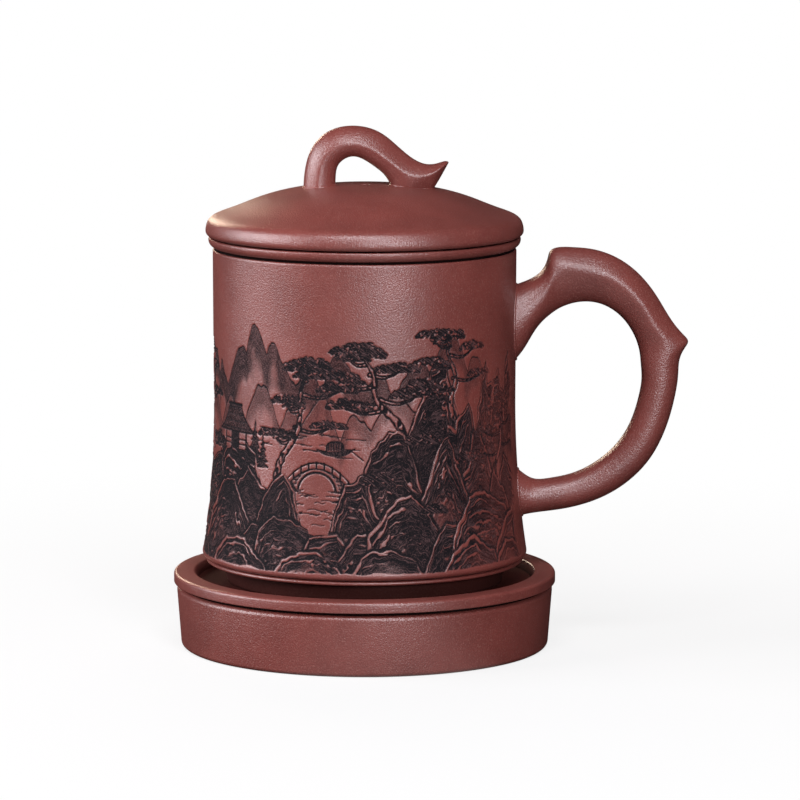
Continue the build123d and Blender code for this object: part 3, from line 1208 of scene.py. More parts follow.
@dataclass
class Landscape:
    """A river landscape on the cup's unrolled side, as a map of how deep and dark it is carved.

    Lengths are in millimetres: across runs along the wall from the middle of the front, and up from the
    wall's base. A spot holds a motif's place across, its height and its size.
    """

    left: float = -108.0
    right: float = 58.0
    top: float = 76.0
    step: float = 0.10
    seed: int = 7
    cells: int = 256
    cell_shift: Place = (13.7, 5.3)
    edge: float = 0.06
    peak_fall: float = 9
    peak_curve: float = 1.2
    peak_round: float = 1.2
    peak_tip: float = 0.35
    peak_line: Place = (0.25, 0.55)
    rock_hollow: Place = (-0.9, -0.15)
    pad_hang: float = 0.35
    hut_spot: Point = (-42, 33.0, 13)
    boat_spot: Point = (-8, 33.5, 9)
    bridge_ends: Place = (-23, -3)
    bridge_foot: float = 23.5
    bridge_rise: float = 6.5
    left_fade: Place = (2, 9)
    right_fade: Place = (-7, -1.5)
    hem_fade: Place = (1.7, 2.3)
    # The ink is painted paler on the shaded right and deeper on the lamp-lit left.
    right_painted_light_span: Place = (14, 44)
    right_painted_light_share: float = 0.42
    left_painted_shade_span: Place = (-45, 30)
    left_painted_shade_share: float = 0.17
    across: Array = field(init=False)
    up: Array = field(init=False)
    ink: Array = field(init=False)
    flow: Array = field(init=False)
    land: Array = field(init=False)
    lattice: Array = field(init=False)

    def __post_init__(self) -> None:
        """Lays out the bare sheet."""
        self.lattice = np.random.default_rng(self.seed).uniform(-1, 1, (self.cells, self.cells))
        columns = round((self.right - self.left) / self.step) + 1
        rows = round(self.top / self.step) + 1
        run = np.linspace(self.left, self.right, columns)
        self.across, self.up = np.meshgrid(run, np.linspace(0, self.top, rows))
        self.ink = np.zeros((rows, columns))
        self.flow = np.zeros((rows, columns))
        self.land = np.zeros((rows, columns))

    def noise(self, across: Array, up: Array, cell: float, shift: float, stretch: float = 1) -> Array:
        """Smooth random values between -1 and 1.

        Args:
            across, up: Places along and up the wall.
            cell: The size of the noise.
            shift: Which part of the noise is taken.
            stretch: How much taller than wide the noise is.

        Returns:
            One value for each place.
        """
        wide = across / cell + shift * self.cell_shift[0]
        tall = up / (cell * stretch) + shift * self.cell_shift[1]
        column = np.floor(wide).astype(int)
        row = np.floor(tall).astype(int)
        right = eased(wide - column, 0, 1)
        above = eased(tall - row, 0, 1)
        column_next = (column + 1) % self.cells
        row_next = (row + 1) % self.cells
        column = column % self.cells
        row = row % self.cells
        low = self.lattice[row, column] * (1 - right) + self.lattice[row, column_next] * right
        high = self.lattice[row_next, column] * (1 - right) + self.lattice[row_next, column_next] * right
        return low * (1 - above) + high * above

    def window(self, left: float, right: float, low: float, high: float) -> tuple[Area, Array, Array]:
        """The part of the sheet that holds a motif.

        Args:
            left, right: The motif's ends along the wall.
            low, high: Its ends up the wall.

        Returns:
            The part, and its places along and up the wall.
        """
        rows, columns = self.ink.shape
        first = min(max(0, int((left - self.left) / self.step)), columns)
        last = min(max(first, int((right - self.left) / self.step) + 2), columns)
        bottom = min(max(0, int(low / self.step)), rows)
        top = min(max(bottom, int(high / self.step) + 2), rows)
        area = (slice(bottom, top), slice(first, last))
        return area, self.across[area], self.up[area]

    def around(self, points: Line, margin: float) -> tuple[Area, Array, Array]:
        """The part of the sheet round a line.

        Args:
            points: The line's points.
            margin: How far past them the part reaches.

        Returns:
            The part, and its places along and up the wall.
        """
        across = [point[0] for point in points]
        up = [point[1] for point in points]
        return self.window(min(across) - margin, max(across) + margin, min(up) - margin, max(up) + margin)

    def lay(self, area: Area, ink: Array | float, mask: Array) -> None:
        """Lays ink over what is drawn, where the mask says."""
        self.ink[area] = self.ink[area] * (1 - mask) + ink * mask
        self.land[area] = np.maximum(self.land[area], mask)

    def ridge(
        self, peaks: Sequence[tuple[float, float, float, float]], fade: float, shade: float, seed: int
    ) -> None:
        """Far peaks: a crisp dark edge over a wash that fades into mist.

        Args:
            peaks: Each peak's place, height, and width to the left and to the right.
            fade: How far below the edge the wash ends.
            shade: How dark the wash is.
            seed: Which noise is taken.
        """
        across = self.across[0]
        level = np.zeros(across.shape)
        crest = np.zeros(across.shape)
        for middle, height, left, right in peaks:
            away = np.where(across < middle, (middle - across) / left, (across - middle) / right)
            slope = self.peak_fall * away**self.peak_curve
            tip = self.peak_round * eased(self.peak_tip - away, 0, self.peak_tip)
            crest = np.maximum(crest, height - slope - tip)
        crest = crest + self.noise(across, level, 3.2, seed) * 1.6
        crest = crest + self.noise(across, level, 1.1, seed + 1) * 0.5
        below = crest[None, :] - self.up
        streak = self.noise(self.across, self.up, 1.5, seed + 2, 3.0)
        reach = fade * (1 + 0.45 * self.noise(self.across, self.up, 6.0, seed + 3) + 0.25 * streak)
        wash = shade * (1 - eased(below, 0.35 * reach, reach)) * (0.95 + 0.10 * streak)
        edge = DEEP_INK * (1 - eased(below, *self.peak_line))
        drawn = np.maximum(np.maximum(wash, edge), self.ink * eased(below, 0, reach))
        self.ink = np.where(below > 0, drawn, self.ink)
        self.flow = np.where(below > 0, below, self.flow)

    def rock(
        self,
        middle: float,
        foot: float,
        half: float,
        height: float,
        seed: int,
        point: float = 1.9,
        lean: float = 0.0,
        pitch: float = 2.4,
        glow: float = 0.3,
        mist: float = 0.0,
    ) -> None:
        """One rock, whose strokes and bands run under its crest and down its sides.

        Args:
            middle: Its place along the wall.
            foot: The height of its foot.
            half: Half its width.
            height: Its height above the foot.
            seed: Which noise is taken.
            point: How blunt it is: 1.2 is a wedge and 2.5 a broad arch.
            lean: How far it leans to the right for its height.
            pitch: The height between its bare bands.
            glow: How much bare clay its belly shows.
            mist: The share of its height that fades out below.
        """
        spread = half * 1.35 + abs(lean) * height
        area, across, up = self.window(middle - spread, middle + spread, 0, foot + height * 1.2)
        wander = self.noise(across, up, half * 0.5, seed, 1.5) * half * 0.10
        wander = wander + self.noise(across, up, 1.5, seed + 1, 2.0) * 0.30
        side = (across - middle - lean * (up - foot) + wander) / half
        crest = height * facets(side, point, seed)
        lump = self.noise(across, up, half * 0.45, seed + 2) * height * 0.05
        lump = lump + self.noise(across, up, 1.3, seed + 3) * 0.3
        below = foot + crest + lump - up
        climb, run = np.gradient(below, self.step)
        steep = np.clip(np.hypot(climb, run), 1, 6)
        near = below / steep
        inside = eased(near, -self.edge, self.edge)
        drift = self.noise(across, up, 6.0, seed + 5, 1.6)
        fine = self.noise(across, up, 2.2, seed + 6, 1.6)
        flow = below / steep**0.45
        part = (flow / pitch + drift * 0.55) % 1
        # Bare bands follow the crest, each between two deep cuts, and swell and die out along it.
        swell = np.clip(0.60 + 0.60 * drift + 0.3 * fine - 0.30 * side, 0, 1) * 0.17
        shown = eased(swell, 0.03, 0.10)
        strip = pulse(part, (0.22, 0.28), (0.26 + swell, 0.32 + swell)) * shown
        strip = strip * (0.94 - 0.40 * eased(below, height * 0.2, height * 0.9)) * (0.85 + 0.3 * fine)
        over = pulse(part, (0.06, 0.12), (0.20, 0.24))
        under = pulse(part, (0.30 + swell, 0.34 + swell), (0.40 + swell, 0.48 + swell))
        trench = np.maximum(np.maximum(over, under) * shown, 1 - eased(near, 0.24, 0.34))
        rim_width = (0.11 + 0.38 * np.clip(drift + 0.5, 0, 1)) * np.clip(0.80 - 0.4 * side, 0.25, 1)
        rim = pulse(near, (0.28, 0.38), (0.40 + rim_width, 0.56 + rim_width))
        belly = (side / 0.45 + 0.15) ** 2 + (((up - foot) / height - 0.34) / 0.26) ** 2
        belly = glow * np.exp(-belly) * (1 + 0.5 * fine)
        light = np.maximum.reduce([strip, rim * 0.92, belly])
        ink = 1 - light + (DEEP_INK - 1) * trench * (1 - eased(light, 0, 0.3))
        if mist:
            streak = self.noise(across, up, 1.2, seed + 8, 4.0)
            fade = eased(up - foot + streak * height * 0.10, 0.0, mist * height)
            ink = ink * fade
            inside = inside * eased(fade, 0.0, 0.15)
        else:
            # A dark hollow just outside the rock sets it off from what is behind it.
            hollow = DEEP_INK * eased(near, *self.rock_hollow) * (1 - inside) * self.land[area]
            self.ink[area] = np.maximum(self.ink[area], hollow)
        self.flow[area] = np.where(inside > 0.5, flow, self.flow[area])
        self.lay(area, np.clip(ink, 0, DEEP_INK), inside)

    def line(self, points: Line, width: float, ink: float = DEEP_INK) -> None:
        """A stroke of one width.

        Args:
            points: The line's points.
            width: How wide it is.
            ink: How dark it is.
        """
        area, across, up = self.around(points, width)
        gap, _ = from_line(points, across, up)
        self.lay(area, ink, 1 - eased(gap, width / 2 - self.edge, width / 2 + self.edge))

    def patch(self, corners: Line, ink: Ink) -> None:
        """Fills an outline.

        Args:
            corners: The outline's points.
            ink: One ink, or an ink for each place.
        """
        area, across, up = self.around(corners, self.step)
        inside = np.zeros(across.shape, bool)
        for (x, z), (next_x, next_z) in zip(corners, [*corners[1:], corners[0]]):
            if z != next_z:
                crossed = (z > up) != (next_z > up)
                inside ^= crossed & (across < (next_x - x) * (up - z) / (next_z - z) + x)
        self.lay(area, ink(across, up) if callable(ink) else ink, inside.astype(float))

    def bough(self, points: Line, thick: float, thin: float, seed: int) -> None:
        """A trunk or bough: dark edges round a lighter bark.

        Args:
            points: The points that it runs through.
            thick: Its width at the first point.
            thin: Its width at the last.
            seed: Which noise is taken.
        """
        line = smooth_line(points)
        area, across, up = self.around(line, thick)
        gap, along = from_line(line, across + self.noise(across, up, 1.1, seed) * 0.25, up)
        half = (thick * (1 - along) + thin * along) / 2
        bark = eased(self.noise(across, up, 0.55, seed + 1, 2.0), -0.45, -0.1)
        core = (1 - eased(gap, half - 0.42, half - 0.26)) * bark
        self.lay(area, DEEP_INK * (1 - 0.9 * core), 1 - eased(gap, half, half + 0.1))

    def clump(self, middle: float, height: float, half: float, rise: float, seed: int) -> None:
        """A pad of needles: scalloped above, flatter below, with short strokes and a few bright flecks.

        Args:
            middle: Its place along the wall.
            height: The height of its underside.
            half: Half its width.
            rise: How high it is.
            seed: The seed of its random numbers.
        """
        reach = half * 1.4
        area, across, up = self.window(
            middle - reach, middle + reach, height - rise * 1.2, height + rise * 1.8
        )
        picks = np.random.default_rng(seed)
        inside = np.zeros(across.shape)
        for share in np.linspace(-1, 1, max(7, int(half * 3.6))):
            lift = rise * math.sqrt(1 - share * share) * picks.uniform(0.45, 0.95)
            size = min(half, rise) * picks.uniform(0.24, 0.40)
            for part in (0.9, 0.45, 0.1):
                gap = np.hypot(across - middle - share * half, (up - height - lift * part) * 1.2)
                inside = np.maximum(inside, 1 - eased(gap, size, size + 0.12))
        frill = self.noise(across, up, 0.6, seed) * 0.4
        inside = inside * (1 - eased(height - rise * self.pad_hang + frill - up, -0.1, 0.1))
        fleck = self.noise(across + 0.6 * up, up - 0.4 * across, 0.45, seed + 3)
        light = eased(fleck, 0.42, 0.60) * 0.8 * eased(inside, 0.3, 0.9)
        self.flow[area] = np.where(inside > 0.5, 0.9 * up + 0.5 * (across - middle), self.flow[area])
        self.lay(area, 1 - light, inside)

    def pine(
        self, root: Place, tip: Place, bend: float, size: float, seed: int, sides: Place = (1.0, 1.0)
    ) -> None:
        """A leaning pine with pads of needles in layers.

        Args:
            root: Where it stands.
            tip: The top of its trunk.
            bend: How far the trunk sways.
            size: Its size, where 1 is a large one.
            seed: The seed of its random numbers.
            sides: How far its boughs reach to the left and to the right, as shares of the usual reach.
        """
        picks = np.random.default_rng(seed)
        start, end = np.array(root), np.array(tip)
        sway = [tuple(start + (end - start) * share + (bend * push, 0)) for share, push in PINE_SWAY]
        trunk = [root, *sway, tip]
        boughs = []
        for share, reach, lift in PINE_BOUGHS:
            fork = start + (end - start) * share
            span = size * reach * picks.uniform(0.8, 1.1) * sides[int(reach > 0)]
            middle = fork + (span / 2, (lift * 0.4 - 0.9) * size)
            end_point = fork + (span, size * lift + picks.uniform(-0.6, 0.6))
            boughs.append([tuple(fork), tuple(middle), tuple(end_point)])
        for number, (_, _, (across, up)) in enumerate(boughs):
            half, rise = size * picks.uniform(3.4, 4.8), size * picks.uniform(1.5, 2.1)
            self.clump(across, up + 0.3, half, rise, seed + 31 * number)
        self.clump(tip[0], tip[1] - 0.2, size * 4.4, size * 2.6, seed + 977)
        for number, bough in enumerate(boughs):
            self.bough(bough, 0.95 * size, 0.55, seed + number)
        self.bough(trunk, 1.9 * size, 0.8, seed + 50)
        for number, (_, (across, up), _) in enumerate(boughs[::2]):
            self.clump(across, up + size, size * picks.uniform(2.0, 2.8), size * 1.25, seed + 71 * number)

    def fir(self, middle: float, foot: float, height: float, seed: int) -> None:
        """A small upright tree far off.

        Args:
            middle: Its place along the wall.
            foot: The height of its foot.
            height: Its height above the foot.
            seed: Which noise is taken.
        """
        half = height * 0.2
        area, across, up = self.window(middle - half * 2, middle + half * 2, foot, foot + height)
        share = np.clip((up - foot) / height, 0, 1)
        tier = np.abs(share * 6 % 1 - 0.15)
        wide = half * (1 - share) * (1.3 - 0.75 * tier) + self.noise(across, up, 0.5, seed) * 0.25
        light = eased(self.noise(across, up, 0.4, seed + 2), 0.2, 0.6) * 0.4
        self.lay(area, 0.92 - light, 1 - eased(np.abs(across - middle), wide - 0.1, wide + 0.1))

    def hut(self) -> None:
        """Draws a thatched hut on posts, with a railing."""
        middle, foot, size = self.hut_spot

        def at(*places: Place) -> list[Place]:
            """Places on the sheet, from shares of the hut's size."""
            return [(middle + across * size, foot + up * size) for across, up in places]

        def thatch(across: Array, up: Array) -> Array:
            """The ink of the thatch: straws that splay downwards, in rows."""
            splay = 0.22 + 0.56 * (foot + size * 1.35 - up) / size
            straw = eased(np.abs((across - middle) / splay % 1 - 0.5) * 2, 0.55, 0.85)
            row = eased(np.abs((up - foot) / size * 7 % 1 - 0.5) * 2, 0.75, 0.95)
            return 0.98 - 0.8 * straw * (1 - row)

        self.patch(at((-0.42, 0), (0.42, 0), (0.42, 0.45), (-0.42, 0.45)), 0.25)
        for post in (-0.4, -0.14, 0.14, 0.4):
            self.line(at((post, 0), (post, 0.5)), 0.45)
        self.patch(at((-0.14, 0), (0.14, 0), (0.14, 0.36), (-0.14, 0.36)), 0.97)
        for rail in (0.1, 0.2):
            self.line(at((-0.42, rail), (-0.14, rail)), 0.25)
            self.line(at((0.14, rail), (0.42, rail)), 0.25)
        left = smooth_line(at((-0.68, 0.36), (-0.44, 0.55), (-0.22, 0.92)))
        right = smooth_line(at((0.22, 0.92), (0.44, 0.55), (0.68, 0.36)))
        self.patch([*left, *right], thatch)
        self.line(at((-0.25, 0.93), (0.25, 0.93)), 0.7)
        for eave in (left, right, at((-0.68, 0.36), (0.68, 0.36))):
            self.line(eave, 0.38)

    def bridge(self) -> None:
        """Draws a stone bridge on one round arch, with a railing."""
        left, right = self.bridge_ends
        foot, rise = self.bridge_foot, self.bridge_rise
        middle, half = (left + right) / 2, (right - left) / 2
        area, across, up = self.window(left, right, foot, foot + rise + 4)
        side = (across - middle) / half
        deck = foot + rise * (1 - side * side)
        gap = np.hypot(side / 0.5, (up - foot) / (rise * 0.78))
        course = (up - foot) / 1.05 + 0.06 * self.noise(across, up, 1.5, 3)
        joint = np.abs((across / 2.1 + np.floor(course) % 2 * 0.5) % 1 - 0.5) * 2
        stone = 0.45 + 0.25 * self.noise(across, up, 1.4, 5)
        ink = np.where((np.abs(course % 1 - 0.5) > 0.39) | (joint > 0.88), DEEP_INK, stone)
        ink = np.where((deck - up < 0.45) | (gap < 1.12), DEEP_INK, ink)
        ink = np.where((gap >= 1.12) & (gap < 1.22), 0.12, ink)
        self.lay(area, ink, ((up < deck) & (gap > 1)).astype(float))
        rail = np.abs(up - deck - 1.5) < 0.22
        post = (up > deck) & (up < deck + 1.9) & (np.abs((across - left) / 2.2 % 1 - 0.5) < 0.1)
        self.lay(area, DEEP_INK, (rail | post).astype(float))

    def boat(self) -> None:
        """Draws a small boat with a matted cover."""
        middle, water, size = self.boat_spot

        def at(*places: Place) -> list[Place]:
            """Places on the sheet, from shares of the boat's size."""
            return [(middle + across * size, water + up * size) for across, up in places]

        def mat(across: Array, up: Array) -> Array:
            """The ink of the mat, which is the same all the way up."""
            return 0.95 - 0.75 * eased(np.abs((across - middle) / 0.7 % 1 - 0.5) * 2, 0.6, 0.85)

        cover = smooth_line(at((-0.26, 0.16), (-0.22, 0.36), (0, 0.43), (0.22, 0.36), (0.26, 0.16)))
        self.patch(cover, mat)
        self.line(cover, 0.4)
        keel = smooth_line(at((-0.62, 0.22), (-0.35, 0.04), (0, -0.02), (0.35, 0.04), (0.66, 0.26)))
        side = smooth_line(at((0.66, 0.26), (0.3, 0.17), (-0.3, 0.15), (-0.62, 0.22)))
        self.patch([*keel, *side], 0.97)
        self.line(at((0.45, 0.2), (0.85, -0.12)), 0.3)

    def ripples(self, left: float, right: float, low: float, high: float, count: int, seed: int) -> None:
        """Thin lines on still water.

        Args:
            left, right: The water's ends along the wall.
            low, high: Its ends up the wall.
            count: How many lines there are.
            seed: The seed of its random numbers.
        """
        picks = np.random.default_rng(seed)
        for _ in range(count):
            across, up = picks.uniform(left, right), picks.uniform(low, high)
            span, bow = picks.uniform(1.0, 3.0), picks.uniform(-0.2, 0.2)
            points = [(-1, 0), (-0.33, 0.18 + bow), (0.33, -0.1), (1, bow)]
            self.line(smooth_line([(across + x * span, up + z) for x, z in points], 4), 0.26, 0.85)

    def distance(self) -> None:
        """Draws the far peaks, the misty pinnacles and the small trees before them."""
        far = (
            (-106, 50, 5, 6), (-97, 60, 4, 5), (-90, 53, 4, 6), (-80, 57, 5, 3), (-75, 64, 4, 6),
            (-66, 54, 5, 4), (-55, 61, 5, 3), (-50, 57, 3, 5), (-38, 63, 6, 3), (-33, 70, 3, 4),
            (-27, 64, 3, 6), (-15, 58, 6, 4), (-8, 62, 3, 6), (4, 56, 6, 4), (15, 62, 5, 5),
            (25, 68, 6, 4), (33, 60, 4, 6), (57, 54, 6, 5),
        )
        near = (
            (-100, 46, 6, 8), (-84, 49, 5, 7), (-68, 46, 7, 5), (-58, 50, 4, 7), (-44, 49, 6, 5),
            (-30, 54, 5, 4), (-21, 47, 4, 5), (-12, 51, 5, 4), (-3, 46, 4, 7), (8, 52, 5, 7), (40, 47, 6, 6),
        )
        pinnacles = (
            (55, 20, 5.5, 30), (38, 24, 5.0, 32), (50, 22, 6.0, 38), (44, 22, 5.2, 36),
            (-80, 22, 6.0, 42), (-72, 22, 4.6, 32), (-88, 20, 5.4, 34),
        )
        firs = (
            (-74, 26, 11), (-70.5, 25, 14), (-67, 26, 10), (-96, 20, 11),
            (-92, 19, 9), (-33, 30, 12), (-30, 29, 9),
        )
        self.ridge(far, fade=15, shade=0.62, seed=3)
        self.ridge(near, fade=10, shade=0.46, seed=9)
        for number, (middle, foot, half, height) in enumerate(pinnacles):
            self.rock(middle, foot, half, height, 61 + number, point=2.3, pitch=2.6, glow=0.2, mist=0.32)
        for number, (middle, foot, height) in enumerate(firs):
            self.fir(middle, foot, height, 590 + 7 * number)

    def cliff(self) -> None:
        """Draws the cliff right of the middle, with its pines."""
        self.rock(48, 2, 12, 28, 11, lean=0.05, glow=0.2)
        self.rock(20, 2, 21, 52, 12, point=2.0, lean=0.02, pitch=3.1, glow=0.1)
        self.pine((27, 40), (24, 65), -2.0, 1.1, 302)
        self.rock(28, 2, 11, 44, 16, point=2.0, lean=0.02)
        self.clump(36, 34, 5.0, 3.0, 201)
        self.rock(36, 2, 12, 36, 13, point=2.1, lean=-0.05)
        self.pine((11, 34), (-1, 61), 2.6, 1.35, 301)
        self.rock(9, 2, 13, 40, 14, point=2.0, lean=-0.06, pitch=2.9, glow=0.25)
        self.clump(16, 37, 4.6, 2.8, 202)
        self.rock(22, 2, 11, 35, 15, point=1.8, lean=0.03, glow=0.35)
        self.pine((42, 22), (47, 44), -1.6, 1.0, 303)
        self.rock(43, 1, 9, 27, 17, glow=0.3)
        self.clump(30, 31, 4.0, 2.6, 203)

    def islet(self) -> None:
        """Draws the islet on the left, with its hut and the bridge to the cliff."""
        for number, (middle, half, height) in enumerate(((-66, 17, 38), (-84, 14, 33), (-99, 12, 27))):
            self.rock(middle, 1, half, height, 21 + number)
        self.pine((-58, 32), (-63, 58), 2.0, 1.25, 304, (1.0, 0.6))
        self.pine((-25, 21), (-15, 57), -2.4, 1.30, 305, (0.45, 1.0))
        self.rock(-43, 1, 20, 34, 24, point=3.4, pitch=2.9, glow=0.2)
        self.hut()
        self.clump(-53, 33, 4.6, 3.4, 211)
        self.rock(-55, 1, 13, 33, 25, point=2.2, lean=0.03, glow=0.35)
        self.rock(-33, 1, 12, 30, 26, point=2.2, lean=-0.03, glow=0.35)
        self.bridge()
        self.ripples(-22, -4, 10, 24, 44, 6)
        self.rock(-24.5, 1, 10.5, 27, 27, point=2.1, glow=0.2)
        self.rock(-2, 1, 10, 27, 28, point=2.1, lean=0.02, glow=0.25)
        self.clump(3.5, 26, 4.2, 2.8, 213)

    def foreground(self) -> None:
        """Draws the near rocks along the bottom, the low ones last."""
        near = (
            (-98, 14, 20), (-84, 13, 15), (-70, 15, 23), (-57, 12, 16), (-45, 16, 24), (-32, 11, 15),
            (-21, 12, 18), (-10, 10, 13), (1, 10, 14), (12, 14, 22), (26, 12, 16), (37, 15, 24),
            (50, 12, 16), (58, 9, 20),
        )
        low = ((-90, 10, 8), (-63, 11, 9), (-38, 12, 10), (-15, 10, 8), (6, 10, 8), (31, 12, 10), (47, 9, 7))
        picks = np.random.default_rng(90)
        for number, (middle, half, height) in enumerate(near + low):
            point, lean, glow = picks.uniform(1.5, 2.4), picks.uniform(-0.14, 0.14), picks.uniform(0.1, 0.6)
            self.rock(middle, 0.5, half, height, 100 + number, point=point, lean=lean, glow=glow)
            if number % 4 == 1:
                self.clump(middle + half * 0.5, height - 4.0, 3.4, 2.2, 400 + number)

    def draw(self) -> Array:
        """Draws the whole landscape from far to near.

        Returns:
            The ink of each place, from 0 for bare clay to DEEP_INK for the darkest cut.
        """
        self.distance()
        self.ripples(-30, -2, 33, 40, 24, 5)
        self.boat()
        self.cliff()
        self.islet()
        self.foreground()
        across, up = self.across, self.up
        soft = self.noise(across, up, 4.0, 501) * 3 + self.noise(across, up, 1.2, 502) * 1.2
        rise = [self.left + inset for inset in self.left_fade]
        fall = [self.right + inset for inset in self.right_fade]
        ends = pulse(across + soft, rise, fall)
        ragged = self.noise(across, up, 4.0, 503) * 0.4 + self.noise(across, up, 0.8, 504) * 0.1
        # The ink is painted deeper on the lamp-lit left, as painted shade, and paler on the shaded right, as
        # painted light, to even out how the lamps fall across the carving.
        ink = self.ink * (1 - self.right_painted_light_share * eased(across, *self.right_painted_light_span))
        ink += self.left_painted_shade_share * np.clip(self.ink, 0, 1) * (1 - eased(across, *self.left_painted_shade_span))
        return np.clip(ink * ends * eased(up + ragged, *self.hem_fade), 0, DEEP_INK)


@dataclass
class Cup:
    """The cup: its carved wall, base slab, foot, mouth ring and sculpted handle."""

    turning: Turning
    clay: Material
    carved: Material
    radius: float = 0.04162
    wall: float = 0.0037
    mouth_flare: float = 0.00015
    hem_flare: float = 0.00325
    hem_round: float = 0.0015
    waist_share: float = 0.527
    base_round: float = 0.0006
    foot_wall: float = 0.0050
    foot_taper: float = 0.0009
    foot_round: float = 0.0008
    # How dark the foot is painted, as the shade under the hem.
    foot_painted_shade: float = 0.8
    ring_width: float = 0.0025
    ring_top_round: float = 0.0005
    ring_hem_round: float = 0.0020
    wall_slit: float = 0.0006
    slit_depth: float = 0.0023
    lip_width: float = 0.0008
    lip_shade: float = 0.0008
    hem_slit: float = 0.0003
    mouth_round: float = 0.0005
    handle_reach: float = 0.0478
    handle_height: float = 0.0747
    handle_width: float = 0.0124
    handle_middle_share: float = 0.506
    handle_root_middle_share: float = 0.432
    handle_undercut_share: float = 0.80
    handle_soften: int = 4
    bead: SlipBead = SlipBead(0.00045)
    carve_depth: float = 0.00024
    carve_pitch: float = 0.00020
    staves: int = 4
    plain_step: float = 0.0012
    side_steps: int = 160
    hem_steps: int = 8
    mouth_points: int = 5
    inner_rows: int = 14
    base: float = field(init=False)
    rim: float = field(init=False)

    def build(self) -> None:
        """Builds and seats the cup's pieces."""
        low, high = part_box("cup_wall")
        self.base, self.rim = low.z, high.z
        self.build_wall()
        self.build_base()
        self.build_handle()

    def side(self) -> tuple[Array, Array]:
        """The wall's outer face.

        Returns:
            Its points from the mouth down to the hem, and those of the hem's rounding.
        """
        waist = self.base + (self.rim - self.base) * self.waist_share
        top = (self.radius + self.mouth_flare, self.rim)
        down = np.array((self.radius, waist)) - top
        hem = (self.radius + self.hem_flare, self.base + self.hem_round)
        curve, heading = tangent_arc((self.radius, waist), tuple(down), hem, self.side_steps)
        rounding = self.hem_round / (1 + heading[0])
        foot = (hem[0] + rounding * heading[1], self.base)
        edge, _ = tangent_arc(hem, heading, foot, self.hem_steps)
        return np.concatenate([[top, (self.radius, waist)], curve]), edge

    def build_wall(self) -> None:
        """Builds the wall as carved staves and a plain one behind, which meet edge to edge."""
        scape = Landscape()
        sheet = scape.draw()
        # Each point of the wall takes the ink of the cells round it.
        for axis in (0, 1):
            sheet = evened(sheet, axis)
        stride = round(self.carve_pitch / MILLIMETRE / scape.step)
        sheet = np.stack([sheet, scape.flow], axis=-1)[::stride, ::stride]
        columns = scape.across[0, ::stride] * MILLIMETRE / self.radius
        rows = scape.up[::stride, 0] * MILLIMETRE + self.base
        _, edge = self.side()
        carved = rows > edge[0, 1]
        shoulder = self.rim - self.mouth_round
        plain = np.arange(rows[-1] + self.plain_step, shoulder, self.plain_step)
        bounds = np.linspace(0, len(columns) - 1, self.staves + 1).round().astype(int)
        for number in range(self.staves):
            part = slice(bounds[number], bounds[number + 1] + 1)
            marks = sheet[carved, part]
            marks = np.concatenate([marks, np.zeros((len(plain), *marks.shape[1:]))])
            heights = np.concatenate([rows[carved], plain])
            self.build_stave(f"cup_wall_stave_{number + 1}", columns[part], heights, marks)
        rest = math.tau - (columns[-1] - columns[0])
        around = columns[-1] + np.linspace(0, rest, round(rest * self.radius / self.plain_step) + 1)
        heights = np.arange(self.base + self.hem_round + self.plain_step, shoulder, self.plain_step)
        marks = np.zeros((len(heights), len(around), 2))
        self.build_stave("cup_wall_back", around, heights, marks)

    def build_stave(self, name: str, angles: Array, heights: Array, marks: Array) -> None:
        """Builds one upright part of the wall as a closed solid.

        Args:
            name: The piece's name.
            angles: The angle of each column from the front, rising.
            heights: The height of each row of the outer face, rising.
            marks: The ink and the flow at each point of the outer face, row by row.
        """
        face, edge = self.side()
        radii = np.interp(heights, face[::-1, 1], face[::-1, 0])
        inner = np.linspace(self.rim, self.base, self.inner_rows)
        inner_radii = np.interp(inner, face[::-1, 1], face[::-1, 0]) - self.wall
        hem = np.concatenate([edge[::-1], face[-1:]])
        turns = np.linspace(0, math.pi / 2, self.mouth_points)
        mouth = np.stack([np.cos(turns) - 1, np.sin(turns) - 1], 1) * self.mouth_round
        mouth = mouth + (self.radius + self.mouth_flare, self.rim)
        loop = np.concatenate([hem, np.stack([radii, heights], 1), mouth, np.stack([inner_radii, inner], 1)])
        cut = np.zeros((len(loop), len(angles), 2))
        cut[len(hem):len(hem) + len(heights)] = marks
        radius = (loop[:, :1] - self.carve_depth * np.clip(cut[..., 0], 0, 1)).T
        height = np.broadcast_to(loop[:, 1], radius.shape)
        # The wall's top is painted dark inside its edge, as the shade under the mouth ring.
        cut[-len(inner) - 1, :, 0] = DEEP_INK
        around = angles[:, None]
        points = np.stack([radius * np.sin(around), -radius * np.cos(around), height], axis=-1)
        piece = ring_object(name, points, self.carved, reverse=True)
        for mark, values in ((INK_AND_SHADE_ATTRIBUTE, cut[..., 0]), (FLOW_ATTRIBUTE, cut[..., 1])):
            attribute = piece.data.attributes.new(mark, "FLOAT", "POINT")
            attribute.data.foreach_set("value", values.T.ravel().astype(np.float32))
        seat(piece, Body.CUP, "cup_wall")

